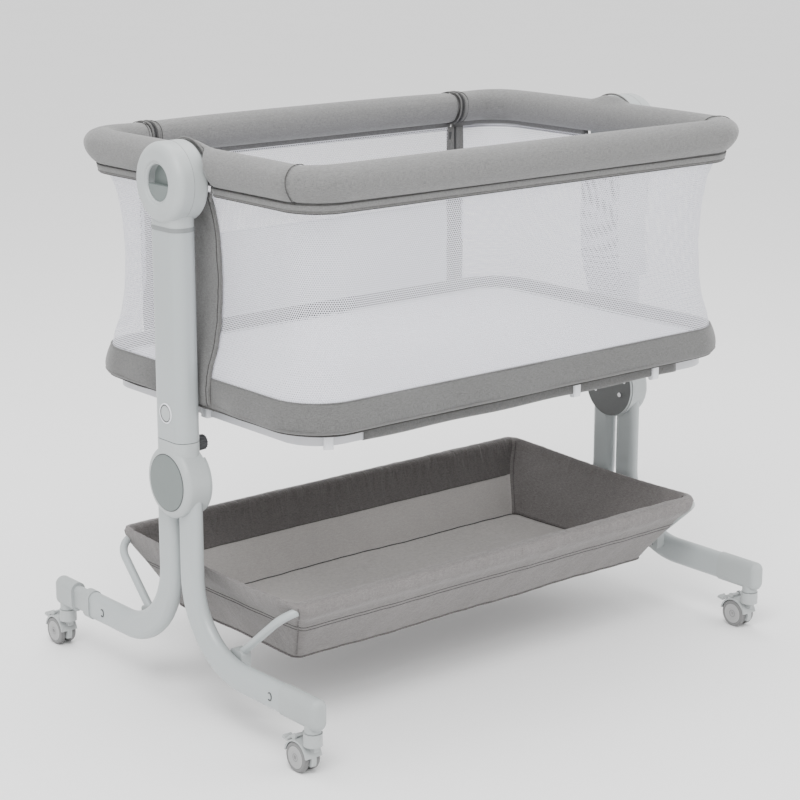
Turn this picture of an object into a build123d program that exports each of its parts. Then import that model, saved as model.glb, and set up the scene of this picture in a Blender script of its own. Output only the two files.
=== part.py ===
"""Bassinet on a telescopic end-frame stand, with drop side, storage basket and castors.

Millimetres, +Z up. X runs along the bed, -Y is its front, and the origin is on the floor
under the middle of its outline. The pieces are drawn about the middle of the cradle, and
every piece is shifted by ORIGIN_Y when it is written.
"""

from build123d import *
from math import cos, radians, sin
import os

os.makedirs("parts", exist_ok=True)

LEFT, RIGHT = -1, 1
FRONT, BACK = -1, 1
SIDE_NAMES = {LEFT: "left", RIGHT: "right"}
ROW_NAMES = {FRONT: "front", BACK: "back"}

# ---------------------------------------------------------------- driving dimensions
ORIGIN_Y = 29.0  # middle of the outline, back from the middle of the cradle

# stand
END_X = 430.0  # mid plane of each end frame
HUB_LOW_Z = 338.0  # centre of the lower hub
HUB_LOW_R = 51.5
HUB_LOW_T = 42.0  # thickness along X
HUB_LOW_CAP_R = 40.0
HUB_EDGE_R = 9.0
HUB_WALL = 3.0
HUB_PLATE_T = 5.0  # cover plate on the inboard side
PLATE_SCREWS = [(-27.0, 328.0), (27.0, 328.0), (-37.0, 352.0), (37.0, 352.0)]
SCREW_R = 2.0
SEAT_GAP = 0.3  # clearance of a fixed piece in its seat
CAP_SEAT = 1.8
KNOB_Z = 386.0  # thumb screw
KNOB_R = 12.0
KNOB_LENGTH = 18.0
KNOB_FLUTES = 16
KNOB_SHANK_R = 4.0
KNOB_SHANK_LENGTH = 11.4
KNOB_STAND_OFF = 3.0
COLLAR_BOTTOM_Z = 368.0
COLLAR_TOP_Z = 397.5
LEG_Y = 26.0  # centre line of each leg below the hub
LEG_HIGH = 42.0  # flat-oval section, in the plane of the frame
LEG_WIDE = 21.0  # flat-oval section, along X
LEG_WALL = 1.8
LEG_BEND_R = 118.0
LEG_TOP_Z = 322.0
FOOT_Z = 88.0  # centre line of the feet
FRONT_TUBE_END_Y = 240.0
BACK_TUBE_END_Y = 236.0
FRONT_CASTOR_Y = 299.0
BACK_CASTOR_Y = 316.0
CAP_HIGH = 45.0
CAP_WIDE = 25.0
CAP_NOSE = 19.0  # cap's end beyond the castor stem
CAP_NOSE_R = 9.0
PLUG_LENGTH = 32.0
BOSS_R = 11.5
BOSS_BOTTOM_Z = 61.0
COLLAR_LENGTH = 16.0
EXT_HIGH = 36.6  # back foot's extension tube
EXT_WIDE = 15.6
EXT_WALL = 1.6
EXT_START_Y = 176.0
BACK_CAP_START_Y = 284.0
STEM_R = 5.0
STEM_LENGTH = 22.0
STEM_FIT = 0.05  # radial clearance of running fits

# telescope
MAST_Y = 68.0
MAST_X = 39.0
MAST_CORNER = 17.0
MAST_WALL = 2.2
MAST_BOTTOM_Z = 398.5
MAST_TOP_Z = 690.0
INNER_Y = 57.0
INNER_X = 24.0
INNER_CORNER = 11.5
INNER_BOTTOM_Z = 332.0
INNER_TOP_Z = 655.0
NECK_RING_H = 6.0
LOCK_HOLES = 8
LOCK_PITCH = 20.0
LOCK_HOLE_R = 6.0
BUTTON_Z = 437.0
BUTTON_R = 11.5
BUTTON_LENGTH = 3.0
TUBE_WALL = 2.0

# upper hub
HUB_UP_EDGE_R = 13.0
HUB_UP_Z = 755.0
HUB_UP_R = 55.0
HUB_UP_OUT = 26.0  # outer face, outboard of the end plane
HUB_UP_IN = 24.0  # inner face, inboard of the end plane
RECESS_R = 28.0
RECESS_DEPTH = 17.0
PIVOT_BLOCK_R = 17.0
PIVOT_BLOCK_HALF = 30.0
PLUG_TOP_Z = 715.0
PLUG_BOTTOM_Z = 660.0
GRIP_TOP_Z = 752.0
GRIP_SINK = 5.0
GRIP_T = 8.0

# cradle
RAIL_L = 396.0  # half length of the rail tube's centre line
RAIL_W = 262.0  # half width
RAIL_BEND_R = 60.0
RAIL_Z = 775.0
RAIL_R = 11.0
RAIL_WALL = 1.5
COVER_HALF_W = 26.0
COVER_HALF_H = 25.0
COVER_CLEAR = 0.4
COVER_SEAM_X = 330.0
COVER_HUB_GAP_Y = 58.0
ZIP_X = 298.0
ZIP_GAP = 3.0
WALL_TOP_Z = 745.0
WALL_BOTTOM_Z = 489.5
WALL_L = 385.0
WALL_W = 255.0
WALL_BEND_R = 62.0
WALL_T = 2.0
PANEL_TOP_Z = 622.0
SKIN_GAP = 0.3  # clearance between soft skins
ZIP_TAPE_W = 12.0
ZIP_TAPE_T = 1.5
ZIP_MID_Z = (WALL_TOP_Z + WALL_BOTTOM_Z) / 2
SLIDER_T = 4.0
SLIDER_Z = 730.0
BAND_L = 404.5
BAND_W = 262.0
BAND_BEND_R = 74.0
BAND_TOP_Z = 486.0
BAND_BOTTOM_Z = 446.0
BAND_T = 10.0
RING_INSET = 16.0
RING_HIGH = 14.0
RING_WIDE = 12.0
RING_TOP_Z = 440.0
BOARD_T = 6.0
MATTRESS_T = 18.0
PAD_X = (-250.0, 0.0, 250.0)

# basket
BASKET_RIM_Z = 200.0
BASKET_FLOOR_Z = 97.0
BASKET_RIM_L = 386.0
BASKET_RIM_W = 205.0
BASKET_FLOOR_L = 342.0
BASKET_FLOOR_W = 148.0
BASKET_T = 3.0
BASKET_CORNER_R = 30.0
BASKET_TUBE_R = 6.0
BASKET_TUBE_Y = 208.5
BASKET_TUBE_Z = 193.0
BASKET_TUBE_CORNER_X = 405.0
BASKET_TUBE_BEND_R = 34.0
HEM_HALF = 355.0
HEM_T = 2.5
BRACKET_Y = 112.0
BRACKET_Z = 110.0
BRACKET_T = 16.0
BRACKET_DROP = 6.0
BRACKET_SCREW_DROP = 13.0
BRACKET_TUBE_X = 411.0

# castors
WHEEL_R = 21.0
WHEEL_T = 9.0
WHEEL_GAP = 9.0
TRAIL = 22.0
HOOD_R = 24.5
HOOD_SKIRT_Z = 25.0
WHEEL_CLEAR = 1.0
WEB_T = 8.0
WEB_SKIRT_Z = 12.0
HOOD_BOSS_R = 13.0
BOSS_Z = 42.5
BOSS_GAP = 0.7
AXLE_R = 3.0
PEDAL_PIVOT_R = 27.6
PEDAL_PIVOT_DEG = 75.0
PEDAL_END_DEG = 22.0
PEDAL_IN_R = 25.4
PEDAL_OUT_R = 28.2
PEDAL_TAB_R = 36.0
PEDAL_TAB_ANGLE = 0.14
PEDAL_W = 14.0
PEDAL_PIN_R = 1.5
PEDAL_BARREL_R = 2.6
PEDAL_REST_DEG = 12.0
LUG_X = 7.6
LUG_T = 3.0
LUG_R = 4.2


def place(part):
    """Shift a piece from the middle of the cradle to the origin of the whole."""
    return part.moved(Location((0, -ORIGIN_Y, 0)))


def write(shape, name):
    """Label a placed piece and write its STEP file."""
    shape.label = name
    export_step(shape, f"parts/{name}.step")


def save(part, name):
    """Place and write one piece."""
    write(place(part), name)


def group(parts, name):
    """Write pieces of one body together, each still its own solid."""
    write(Compound(children=[place(part) for part in parts]), name)


def yz(x):
    """Plane at x, with local axes along +Y and +Z and its normal along +X."""
    return Plane(origin=(x, 0, 0), x_dir=(0, 1, 0), z_dir=(1, 0, 0))


def xz(y):
    """Plane at y, with local axes along +X and +Z and its normal along -Y."""
    return Plane(origin=(0, y, 0), x_dir=(1, 0, 0), z_dir=(0, -1, 0))


def xy(z):
    """Horizontal plane at z."""
    return Plane.XY.offset(z)


# ---------------------------------------------------------------- lower hubs
def lower_hub_shell(side):
    """Round shell that holds the two legs below and the inner tube above, open inboard."""
    x_mid = side * END_X
    x_out = x_mid + side * HUB_LOW_T / 2
    with BuildPart() as hub:
        with BuildSketch(yz(x_out)):
            with Locations((0, HUB_LOW_Z)):
                Circle(HUB_LOW_R)
        extrude(amount=-side * (HUB_LOW_T - HUB_PLATE_T))
        outer_face = hub.faces().filter_by(Axis.X).sort_by(Axis.X)[0 if side < 0 else -1]
        fillet(outer_face.edges(), HUB_EDGE_R)
        with BuildSketch(xy(COLLAR_BOTTOM_Z)):
            with Locations((x_mid, 0)):
                RectangleRounded(MAST_X, MAST_Y, MAST_CORNER)
        extrude(amount=COLLAR_TOP_Z - COLLAR_BOTTOM_Z)
        with BuildSketch(yz(x_out - side * (CAP_SEAT + HUB_WALL))):
            with Locations((0, HUB_LOW_Z)):
                Circle(HUB_LOW_R - HUB_EDGE_R)
        extrude(amount=-side * HUB_LOW_T, mode=Mode.SUBTRACT)
        with BuildSketch(xy(HUB_LOW_Z - HUB_LOW_R - 5)):
            with Locations((x_mid, LEG_Y), (x_mid, -LEG_Y)):
                SlotOverall(LEG_HIGH + 2 * SEAT_GAP, LEG_WIDE + 2 * SEAT_GAP, rotation=90)
        extrude(amount=LEG_TOP_Z - HUB_LOW_Z + HUB_LOW_R + 6, mode=Mode.SUBTRACT)
        with BuildSketch(xy(INNER_BOTTOM_Z - 1)):
            with Locations((x_mid, 0)):
                RectangleRounded(INNER_X + 2 * SEAT_GAP, INNER_Y + 2 * SEAT_GAP, INNER_CORNER)
        extrude(amount=COLLAR_TOP_Z - INNER_BOTTOM_Z + 2, mode=Mode.SUBTRACT)
        with BuildSketch(yz(x_out)):
            with Locations((0, HUB_LOW_Z)):
                Circle(HUB_LOW_CAP_R + 0.6)
        extrude(amount=-side * CAP_SEAT, mode=Mode.SUBTRACT)
        with BuildSketch(yz(x_mid)):
            with Locations((0, KNOB_Z)):
                Circle(KNOB_SHANK_R + STEM_FIT)
        extrude(amount=-side * HUB_LOW_T, mode=Mode.SUBTRACT)
    return hub.part


def lower_hub_plate(side):
    """Flat cover plate that closes the hub inboard, with four screw holes."""
    x_in = side * (END_X - HUB_LOW_T / 2)
    with BuildPart() as plate:
        with BuildSketch(yz(x_in)):
            with Locations((0, HUB_LOW_Z)):
                Circle(HUB_LOW_R - 1)
            with Locations((0, COLLAR_BOTTOM_Z + HUB_LOW_R / 2 - SEAT_GAP)):
                Rectangle(MAST_Y + 2 * SEAT_GAP, HUB_LOW_R, mode=Mode.SUBTRACT)
            with Locations(*PLATE_SCREWS):
                Circle(SCREW_R, mode=Mode.SUBTRACT)
        extrude(amount=side * HUB_PLATE_T)
        fillet(plate.edges().filter_by(GeomType.CIRCLE).sort_by(SortBy.RADIUS)[-2:], 1.5)
    return plate.part


def lower_hub_cap(side):
    """Thin decorative disc set into the hub's outer face."""
    seat = side * (END_X + HUB_LOW_T / 2 - CAP_SEAT)
    with BuildPart() as cap:
        with BuildSketch(yz(seat)):
            with Locations((0, HUB_LOW_Z)):
                Circle(HUB_LOW_CAP_R)
        extrude(amount=side * (CAP_SEAT + 1.4))
        face = cap.faces().filter_by(Axis.X).sort_by(Axis.X)[0 if side < 0 else -1]
        fillet(face.edges(), 1.2)
    return cap.part


def screw(x_head, y, z, side, head_r, shank_r, shank_length):
    """Pan-head screw whose head stands inboard of x_head."""
    with BuildPart() as fastener:
        with BuildSketch(yz(x_head)):
            with Locations((y, z)):
                Circle(head_r)
        extrude(amount=-side * 2.0)
        with BuildSketch(yz(x_head)):
            with Locations((y, z)):
                Circle(shank_r)
        extrude(amount=side * shank_length)
    return fastener.part


def thumb_screw(side):
    """Knurled thumb screw that clamps the inner tube in the hub's collar."""
    x_face = side * (END_X - HUB_LOW_T / 2 - KNOB_STAND_OFF)
    with BuildPart() as knob:
        with BuildSketch(yz(x_face)):
            with Locations((0, KNOB_Z)):
                Circle(KNOB_R)
                with PolarLocations(KNOB_R, KNOB_FLUTES):
                    Circle(1.1, mode=Mode.SUBTRACT)
        extrude(amount=-side * KNOB_LENGTH, taper=4)
        with BuildSketch(yz(x_face)):
            with Locations((0, KNOB_Z)):
                Circle(KNOB_SHANK_R)
        extrude(amount=side * KNOB_SHANK_LENGTH)
    return knob.part


# ---------------------------------------------------------------- telescope
def inner_tube(side):
    """Fixed telescope tube with a row of lock holes on its outboard face."""
    with BuildPart() as tube:
        with BuildSketch(xy(INNER_BOTTOM_Z)):
            with Locations((side * END_X, 0)):
                RectangleRounded(INNER_X, INNER_Y, INNER_CORNER)
                inner = (INNER_X - 2 * TUBE_WALL, INNER_Y - 2 * TUBE_WALL)
                RectangleRounded(*inner, INNER_CORNER - TUBE_WALL, mode=Mode.SUBTRACT)
        extrude(amount=INNER_TOP_Z - INNER_BOTTOM_Z)
        with BuildSketch(yz(side * END_X)):
            with Locations(*[(0, BUTTON_Z + i * LOCK_PITCH) for i in range(LOCK_HOLES)]):
                Circle(LOCK_HOLE_R)
        extrude(amount=side * INNER_X, mode=Mode.SUBTRACT)
    return tube.part


def mast_tube(side):
    """Outer telescope tube with the opening for its height button."""
    with BuildPart() as tube:
        with BuildSketch(xy(MAST_BOTTOM_Z)):
            with Locations((side * END_X, 0)):
                RectangleRounded(MAST_X, MAST_Y, MAST_CORNER)
                inner = (MAST_X - 2 * MAST_WALL, MAST_Y - 2 * MAST_WALL)
                RectangleRounded(*inner, MAST_CORNER - MAST_WALL, mode=Mode.SUBTRACT)
        extrude(amount=MAST_TOP_Z - MAST_BOTTOM_Z)
        with BuildSketch(yz(side * END_X)):
            with Locations((0, BUTTON_Z)):
                Circle(BUTTON_R + 0.5)
        extrude(amount=side * MAST_X, mode=Mode.SUBTRACT)
    return tube.part


def height_button(side):
    """Round push button in the mast's outboard face."""
    x_face = side * (END_X + MAST_X / 2 + 0.8)
    with BuildPart() as button:
        with BuildSketch(yz(x_face)):
            with Locations((0, BUTTON_Z)):
                Circle(BUTTON_R)
        extrude(amount=-side * BUTTON_LENGTH)
        face = button.faces().filter_by(Axis.X).sort_by(Axis.X)[0 if side < 0 else -1]
        fillet(face.edges(), 1.0)
    return button.part


# ---------------------------------------------------------------- upper hubs
def neck_ring(side):
    """Trim ring between the mast and the upper hub's neck."""
    with BuildPart() as ring:
        with BuildSketch(xy(MAST_TOP_Z)):
            with Locations((side * END_X, 0)):
                RectangleRounded(MAST_X + 1, MAST_Y + 1, MAST_CORNER + 0.5)
                inner = (MAST_X - 2 * MAST_WALL, MAST_Y - 2 * MAST_WALL)
                RectangleRounded(*inner, MAST_CORNER - MAST_WALL, mode=Mode.SUBTRACT)
        extrude(amount=NECK_RING_H)
    return ring.part


def upper_hub_outer(side):
    """Outboard half of the upper hub: a thick ring face with a round recess."""
    x_mid = side * END_X
    x_out = side * (END_X + HUB_UP_OUT)
    with BuildPart() as shell:
        with BuildSketch(yz(x_mid)):
            with Locations((0, HUB_UP_Z)):
                Circle(HUB_UP_R)
        extrude(amount=side * HUB_UP_OUT)
        face = shell.faces().filter_by(Axis.X).sort_by(Axis.X)[0 if side < 0 else -1]
        fillet(face.edges(), HUB_UP_EDGE_R)
        with BuildSketch(xy(MAST_TOP_Z + NECK_RING_H)):
            with Locations((x_mid + side * MAST_X / 4, 0)):
                Rectangle(MAST_X / 2, MAST_Y)
            with Locations((x_mid, 0)):
                RectangleRounded(MAST_X, MAST_Y, MAST_CORNER, mode=Mode.INTERSECT)
        extrude(amount=HUB_UP_Z - MAST_TOP_Z - NECK_RING_H - RECESS_R - 2)
        with BuildSketch(yz(x_out)):
            with Locations((0, HUB_UP_Z)):
                Circle(RECESS_R)
        extrude(amount=-side * RECESS_DEPTH, mode=Mode.SUBTRACT)
        mouth = shell.edges().filter_by(GeomType.CIRCLE).group_by(Axis.X)[0 if side < 0 else -1]
        fillet(mouth.sort_by(SortBy.RADIUS)[0], 4.0)
        with BuildSketch(yz(x_mid)):
            with Locations((0, HUB_UP_Z)):
                Circle(HUB_UP_R - HUB_WALL)
        extrude(amount=side * (HUB_UP_OUT - RECESS_DEPTH - HUB_WALL), mode=Mode.SUBTRACT)
    return shell.part


def upper_hub_inner(side):
    """Inboard half of the upper hub, with the neck plug and the rail's pivot block."""
    x_mid = side * END_X
    with BuildPart() as shell:
        with BuildSketch(yz(x_mid)):
            with Locations((0, HUB_UP_Z)):
                Circle(HUB_UP_R)
        extrude(amount=-side * HUB_UP_IN)
        face = shell.faces().filter_by(Axis.X).sort_by(Axis.X)[-1 if side < 0 else 0]
        fillet(face.edges(), 6.0)
        with BuildSketch(yz(x_mid)):
            with Locations((0, HUB_UP_Z)):
                Circle(HUB_UP_R - HUB_WALL)
        extrude(amount=-side * (HUB_UP_IN - HUB_WALL), mode=Mode.SUBTRACT)
        with BuildSketch(xy(MAST_TOP_Z + NECK_RING_H)):
            with Locations((x_mid - side * MAST_X / 4, 0)):
                Rectangle(MAST_X / 2, MAST_Y)
            with Locations((x_mid, 0)):
                RectangleRounded(MAST_X, MAST_Y, MAST_CORNER, mode=Mode.INTERSECT)
        extrude(amount=PLUG_TOP_Z - MAST_TOP_Z - NECK_RING_H)
        with BuildSketch(xy(PLUG_BOTTOM_Z)):
            with Locations((x_mid, 0)):
                plug = (MAST_X - 2 * MAST_WALL - 0.4, MAST_Y - 2 * MAST_WALL - 0.4)
                RectangleRounded(*plug, MAST_CORNER - MAST_WALL - 0.2)
        extrude(amount=MAST_TOP_Z + NECK_RING_H - PLUG_BOTTOM_Z)
        with BuildSketch(xz(-PIVOT_BLOCK_HALF)):
            with Locations((side * RAIL_L, RAIL_Z)):
                Circle(PIVOT_BLOCK_R)
        extrude(amount=-2 * PIVOT_BLOCK_HALF)
        with BuildSketch(xz(-PIVOT_BLOCK_HALF)):
            with Locations((side * RAIL_L, RAIL_Z)):
                Circle(RAIL_R + STEM_FIT)
        extrude(amount=-2 * PIVOT_BLOCK_HALF, mode=Mode.SUBTRACT)
        for row in (FRONT, BACK):
            with BuildSketch(xz(row * PIVOT_BLOCK_HALF)):
                with Locations((side * RAIL_L, RAIL_Z)):
                    Circle(RAIL_R + 1.0)
            extrude(amount=-row * PIVOT_BLOCK_HALF, mode=Mode.SUBTRACT)
    return shell.part


def hub_grip(side):
    """Half-moon grip in the hub's recess; its upper edge is squeezed inward."""
    x_face = side * (END_X + HUB_UP_OUT - GRIP_SINK)
    with BuildPart() as grip:
        with BuildSketch(yz(x_face)):
            with Locations((0, HUB_UP_Z)):
                Circle(RECESS_R - 1.2)
            with Locations((0, GRIP_TOP_Z + RECESS_R)):
                Rectangle(2 * RECESS_R, 2 * RECESS_R, mode=Mode.SUBTRACT)
        extrude(amount=-side * GRIP_T)
        face = grip.faces().filter_by(Axis.X).sort_by(Axis.X)[0 if side < 0 else -1]
        fillet(face.edges(), 1.5)
    return grip.part


# ---------------------------------------------------------------- legs and feet
def leg(side, row):
    """J-shaped flat-oval tube from the lower hub down to the end of its foot."""
    x = side * END_X
    end_y = FRONT_TUBE_END_Y if row == FRONT else BACK_TUBE_END_Y
    corners = [(row * LEG_Y, LEG_TOP_Z), (row * LEG_Y, FOOT_Z), (row * end_y, FOOT_Z)]
    start = Plane(origin=(x, row * LEG_Y, LEG_TOP_Z), x_dir=(0, 1, 0), z_dir=(0, 0, -1))
    with BuildPart() as tube:
        with BuildLine(yz(x)):
            FilletPolyline(*corners, radius=LEG_BEND_R)
        with BuildSketch(start):
            SlotOverall(LEG_HIGH, LEG_WIDE)
            bore = (LEG_HIGH - 2 * LEG_WALL, LEG_WIDE - 2 * LEG_WALL)
            SlotOverall(*bore, mode=Mode.SUBTRACT)
        sweep()
    return tube.part


def foot_block(x, row, y_start, y_end):
    """Sketch-and-extrude of a foot's oval cap between two distances from the middle."""
    with BuildPart() as block:
        with BuildSketch(xz(row * y_start)):
            with Locations((x, FOOT_Z)):
                SlotOverall(CAP_HIGH, CAP_WIDE, rotation=90)
        extrude(amount=-row * (y_end - y_start))
        nose = block.faces().filter_by(Axis.Y).sort_by(Axis.Y)[0 if row < 0 else -1]
        fillet(nose.edges(), CAP_NOSE_R)
    return block.part


def castor_boss(x, row, castor_y):
    """Boss under a foot cap, with the blind bore for the castor's stem."""
    with BuildPart() as boss:
        with BuildSketch(xy(BOSS_BOTTOM_Z)):
            with Locations((x, row * castor_y)):
                Circle(BOSS_R)
        extrude(amount=FOOT_Z - BOSS_BOTTOM_Z)
    return boss.part


def end_cap(side, row, y_start, castor_y, plug):
    """Moulded end of a foot: oval cap, castor boss, and a plug that enters its tube."""
    x = side * END_X
    with BuildPart() as cap:
        add(foot_block(x, row, y_start, castor_y + CAP_NOSE))
        add(castor_boss(x, row, castor_y))
        with BuildSketch(xz(row * (y_start - PLUG_LENGTH))):
            with Locations((x, FOOT_Z)):
                SlotOverall(*plug, rotation=90)
        extrude(amount=-row * PLUG_LENGTH)
        with BuildSketch(xy(BOSS_BOTTOM_Z)):
            with Locations((x, row * castor_y)):
                Circle(STEM_R + STEM_FIT)
        extrude(amount=STEM_LENGTH + 1, mode=Mode.SUBTRACT)
    return cap.part


def back_collar(side):
    """Guide collar at the mouth of a back foot, around its extension tube."""
    with BuildPart() as collar:
        with BuildSketch(xz(BACK_TUBE_END_Y)):
            with Locations((side * END_X, FOOT_Z)):
                SlotOverall(CAP_HIGH, CAP_WIDE, rotation=90)
                SlotOverall(EXT_HIGH + 0.6, EXT_WIDE + 0.6, rotation=90, mode=Mode.SUBTRACT)
        extrude(amount=-COLLAR_LENGTH)
    return collar.part


def extension_tube(side):
    """Smaller oval tube that telescopes in a back foot."""
    with BuildPart() as tube:
        with BuildSketch(xz(EXT_START_Y)):
            with Locations((side * END_X, FOOT_Z)):
                SlotOverall(EXT_HIGH, EXT_WIDE, rotation=90)
                bore = (EXT_HIGH - 2 * EXT_WALL, EXT_WIDE - 2 * EXT_WALL)
                SlotOverall(*bore, rotation=90, mode=Mode.SUBTRACT)
        extrude(amount=-(BACK_CAP_START_Y - EXT_START_Y))
    return tube.part


# ---------------------------------------------------------------- castors
def pedal_pivot(wheel_y):
    """Centre of the brake pedal's pin, above the hood."""
    angle = radians(PEDAL_PIVOT_DEG)
    return wheel_y + PEDAL_PIVOT_R * cos(angle), WHEEL_R + PEDAL_PIVOT_R * sin(angle)


def castor_fork(x, stem_y):
    """Hooded castor body: fender over both wheels, web between them, boss and stem."""
    wheel_y = stem_y + TRAIL
    half = WHEEL_GAP / 2 + WHEEL_T
    pivot = pedal_pivot(wheel_y)
    with BuildPart() as fork:
        with BuildSketch(yz(x - half)):
            with Locations((wheel_y, WHEEL_R)):
                Circle(HOOD_R)
                Circle(WHEEL_R + WHEEL_CLEAR, mode=Mode.SUBTRACT)
            with Locations((wheel_y, HOOD_SKIRT_Z - HOOD_R)):
                Rectangle(3 * HOOD_R, 2 * HOOD_R, mode=Mode.SUBTRACT)
        extrude(amount=2 * half)
        with BuildSketch(yz(x - WEB_T / 2)):
            with Locations((wheel_y, WHEEL_R)):
                Circle(HOOD_R)
            with Locations((wheel_y, WEB_SKIRT_Z - HOOD_R)):
                Rectangle(3 * HOOD_R, 2 * HOOD_R, mode=Mode.SUBTRACT)
            with Locations((stem_y + 6, BOSS_Z - 3)):
                Rectangle(2 * HOOD_BOSS_R, 10)
        extrude(amount=WEB_T)
        with BuildSketch(xy(BOSS_Z)):
            with Locations((x, stem_y)):
                Circle(HOOD_BOSS_R)
        extrude(amount=BOSS_BOTTOM_Z - BOSS_GAP - BOSS_Z)
        with BuildSketch(xy(BOSS_Z)):
            with Locations((x, stem_y)):
                Circle(STEM_R)
        extrude(amount=BOSS_BOTTOM_Z - BOSS_Z + STEM_LENGTH)
        for lug_x in (x - LUG_X - LUG_T, x + LUG_X):
            with BuildSketch(yz(lug_x)):
                with Locations(pivot):
                    Circle(LUG_R)
            extrude(amount=LUG_T)
        with BuildSketch(yz(x - half)):
            with Locations(pivot):
                Circle(PEDAL_PIN_R + STEM_FIT)
            with Locations((wheel_y, WHEEL_R)):
                Circle(AXLE_R + STEM_FIT)
        extrude(amount=2 * half, mode=Mode.SUBTRACT)
    return fork.part


def castor_wheelset(x, stem_y):
    """Two wheels pressed on their axle."""
    wheel_y = stem_y + TRAIL
    pieces = []
    for hand in (LEFT, RIGHT):
        with BuildPart() as wheel:
            with BuildSketch(yz(x + hand * WHEEL_GAP / 2)):
                with Locations((wheel_y, WHEEL_R)):
                    Circle(WHEEL_R)
                    Circle(AXLE_R, mode=Mode.SUBTRACT)
            extrude(amount=hand * WHEEL_T)
            rims = wheel.edges().filter_by(GeomType.CIRCLE).group_by(SortBy.RADIUS)[-1]
            fillet(rims, 2.5)
        pieces.append(wheel.part)
    with BuildPart() as axle:
        with BuildSketch(yz(x - WHEEL_GAP / 2 - WHEEL_T + 1)):
            with Locations((wheel_y, WHEEL_R)):
                Circle(AXLE_R)
        extrude(amount=WHEEL_GAP + 2 * WHEEL_T - 2)
    pieces.append(axle.part)
    return pieces


def castor_pedal(x, stem_y):
    """Brake pedal: a curved plate over the hood, lifted by its rest angle."""
    wheel_y = stem_y + TRAIL
    pivot_y, pivot_z = pedal_pivot(wheel_y)
    low, high = radians(PEDAL_END_DEG), radians(PEDAL_PIVOT_DEG)
    mid = (low + high) / 2

    def at(radius, angle):
        return (wheel_y + radius * cos(angle), WHEEL_R + radius * sin(angle))

    with BuildPart() as pedal:
        with BuildSketch(yz(x - PEDAL_W / 2)):
            with BuildLine():
                ThreePointArc(at(PEDAL_IN_R, low), at(PEDAL_IN_R, mid), at(PEDAL_IN_R, high))
                Line(at(PEDAL_IN_R, high), at(PEDAL_OUT_R, high))
                ThreePointArc(at(PEDAL_OUT_R, high), at(PEDAL_OUT_R, mid), at(PEDAL_OUT_R, low))
                Line(at(PEDAL_OUT_R, low), at(PEDAL_TAB_R, low))
                Line(at(PEDAL_TAB_R, low), at(PEDAL_TAB_R, low - PEDAL_TAB_ANGLE))
                Line(at(PEDAL_TAB_R, low - PEDAL_TAB_ANGLE), at(PEDAL_IN_R, low))
            make_face()
            with Locations((pivot_y, pivot_z)):
                Circle(PEDAL_BARREL_R)
        extrude(amount=PEDAL_W)
        with BuildSketch(yz(x - LUG_X - LUG_T)):
            with Locations((pivot_y, pivot_z)):
                Circle(PEDAL_PIN_R)
        extrude(amount=2 * (LUG_X + LUG_T))
    hinge = Axis((x, pivot_y, pivot_z), (1, 0, 0))
    return pedal.part.rotate(hinge, PEDAL_REST_DEG)


# ---------------------------------------------------------------- top rail
def rail_sweep(corners, bend, start, outer, inner_r):
    """Ring section swept along a level path; start is the section's own plane."""
    with BuildPart() as piece:
        with BuildLine(xy(RAIL_Z)):
            if len(corners) > 2:
                FilletPolyline(*corners, radius=bend)
            else:
                Line(*corners)
        with BuildSketch(start):
            if outer[0] == outer[1]:
                Circle(outer[0])
            else:
                Ellipse(*outer)
            Circle(inner_r, mode=Mode.SUBTRACT)
        sweep()
    return piece.part


def rail_tube_fixed():
    """C-shaped rail tube: both ends, the front, and the two stubs beside the drop side."""
    stub = ZIP_X + ZIP_GAP
    corners = [
        (stub, RAIL_W),
        (RAIL_L, RAIL_W),
        (RAIL_L, -RAIL_W),
        (-RAIL_L, -RAIL_W),
        (-RAIL_L, RAIL_W),
        (-stub, RAIL_W),
    ]
    start = Plane(origin=(stub, RAIL_W, RAIL_Z), x_dir=(0, -1, 0), z_dir=(1, 0, 0))
    return rail_sweep(corners, RAIL_BEND_R, start, (RAIL_R, RAIL_R), RAIL_R - RAIL_WALL)


def rail_cover_corner(side, row):
    """Padded cover from the hub round one corner to the next seam."""
    seam = ZIP_X + ZIP_GAP if row == BACK else COVER_SEAM_X
    corners = [
        (side * RAIL_L, row * COVER_HUB_GAP_Y),
        (side * RAIL_L, row * RAIL_W),
        (side * seam, row * RAIL_W),
    ]
    start = Plane(
        origin=(side * RAIL_L, row * COVER_HUB_GAP_Y, RAIL_Z), x_dir=(1, 0, 0), z_dir=(0, row, 0)
    )
    section = (COVER_HALF_W, COVER_HALF_H)
    return rail_sweep(corners, RAIL_BEND_R, start, section, RAIL_R + COVER_CLEAR)


def rail_cover_straight(y, half_length):
    """Straight padded cover along one long side."""
    start = Plane(origin=(-half_length, y, RAIL_Z), x_dir=(0, 1, 0), z_dir=(1, 0, 0))
    ends = [(-half_length, y), (half_length, y)]
    section = (COVER_HALF_W, COVER_HALF_H)
    return rail_sweep(ends, None, start, section, RAIL_R + COVER_CLEAR)


def drop_rail_tube():
    """Rail tube section that swings away with the drop side."""
    half = ZIP_X - ZIP_GAP
    start = Plane(origin=(-half, RAIL_W, RAIL_Z), x_dir=(0, 1, 0), z_dir=(1, 0, 0))
    ends = [(-half, RAIL_W), (half, RAIL_W)]
    return rail_sweep(ends, None, start, (RAIL_R, RAIL_R), RAIL_R - RAIL_WALL)


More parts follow.
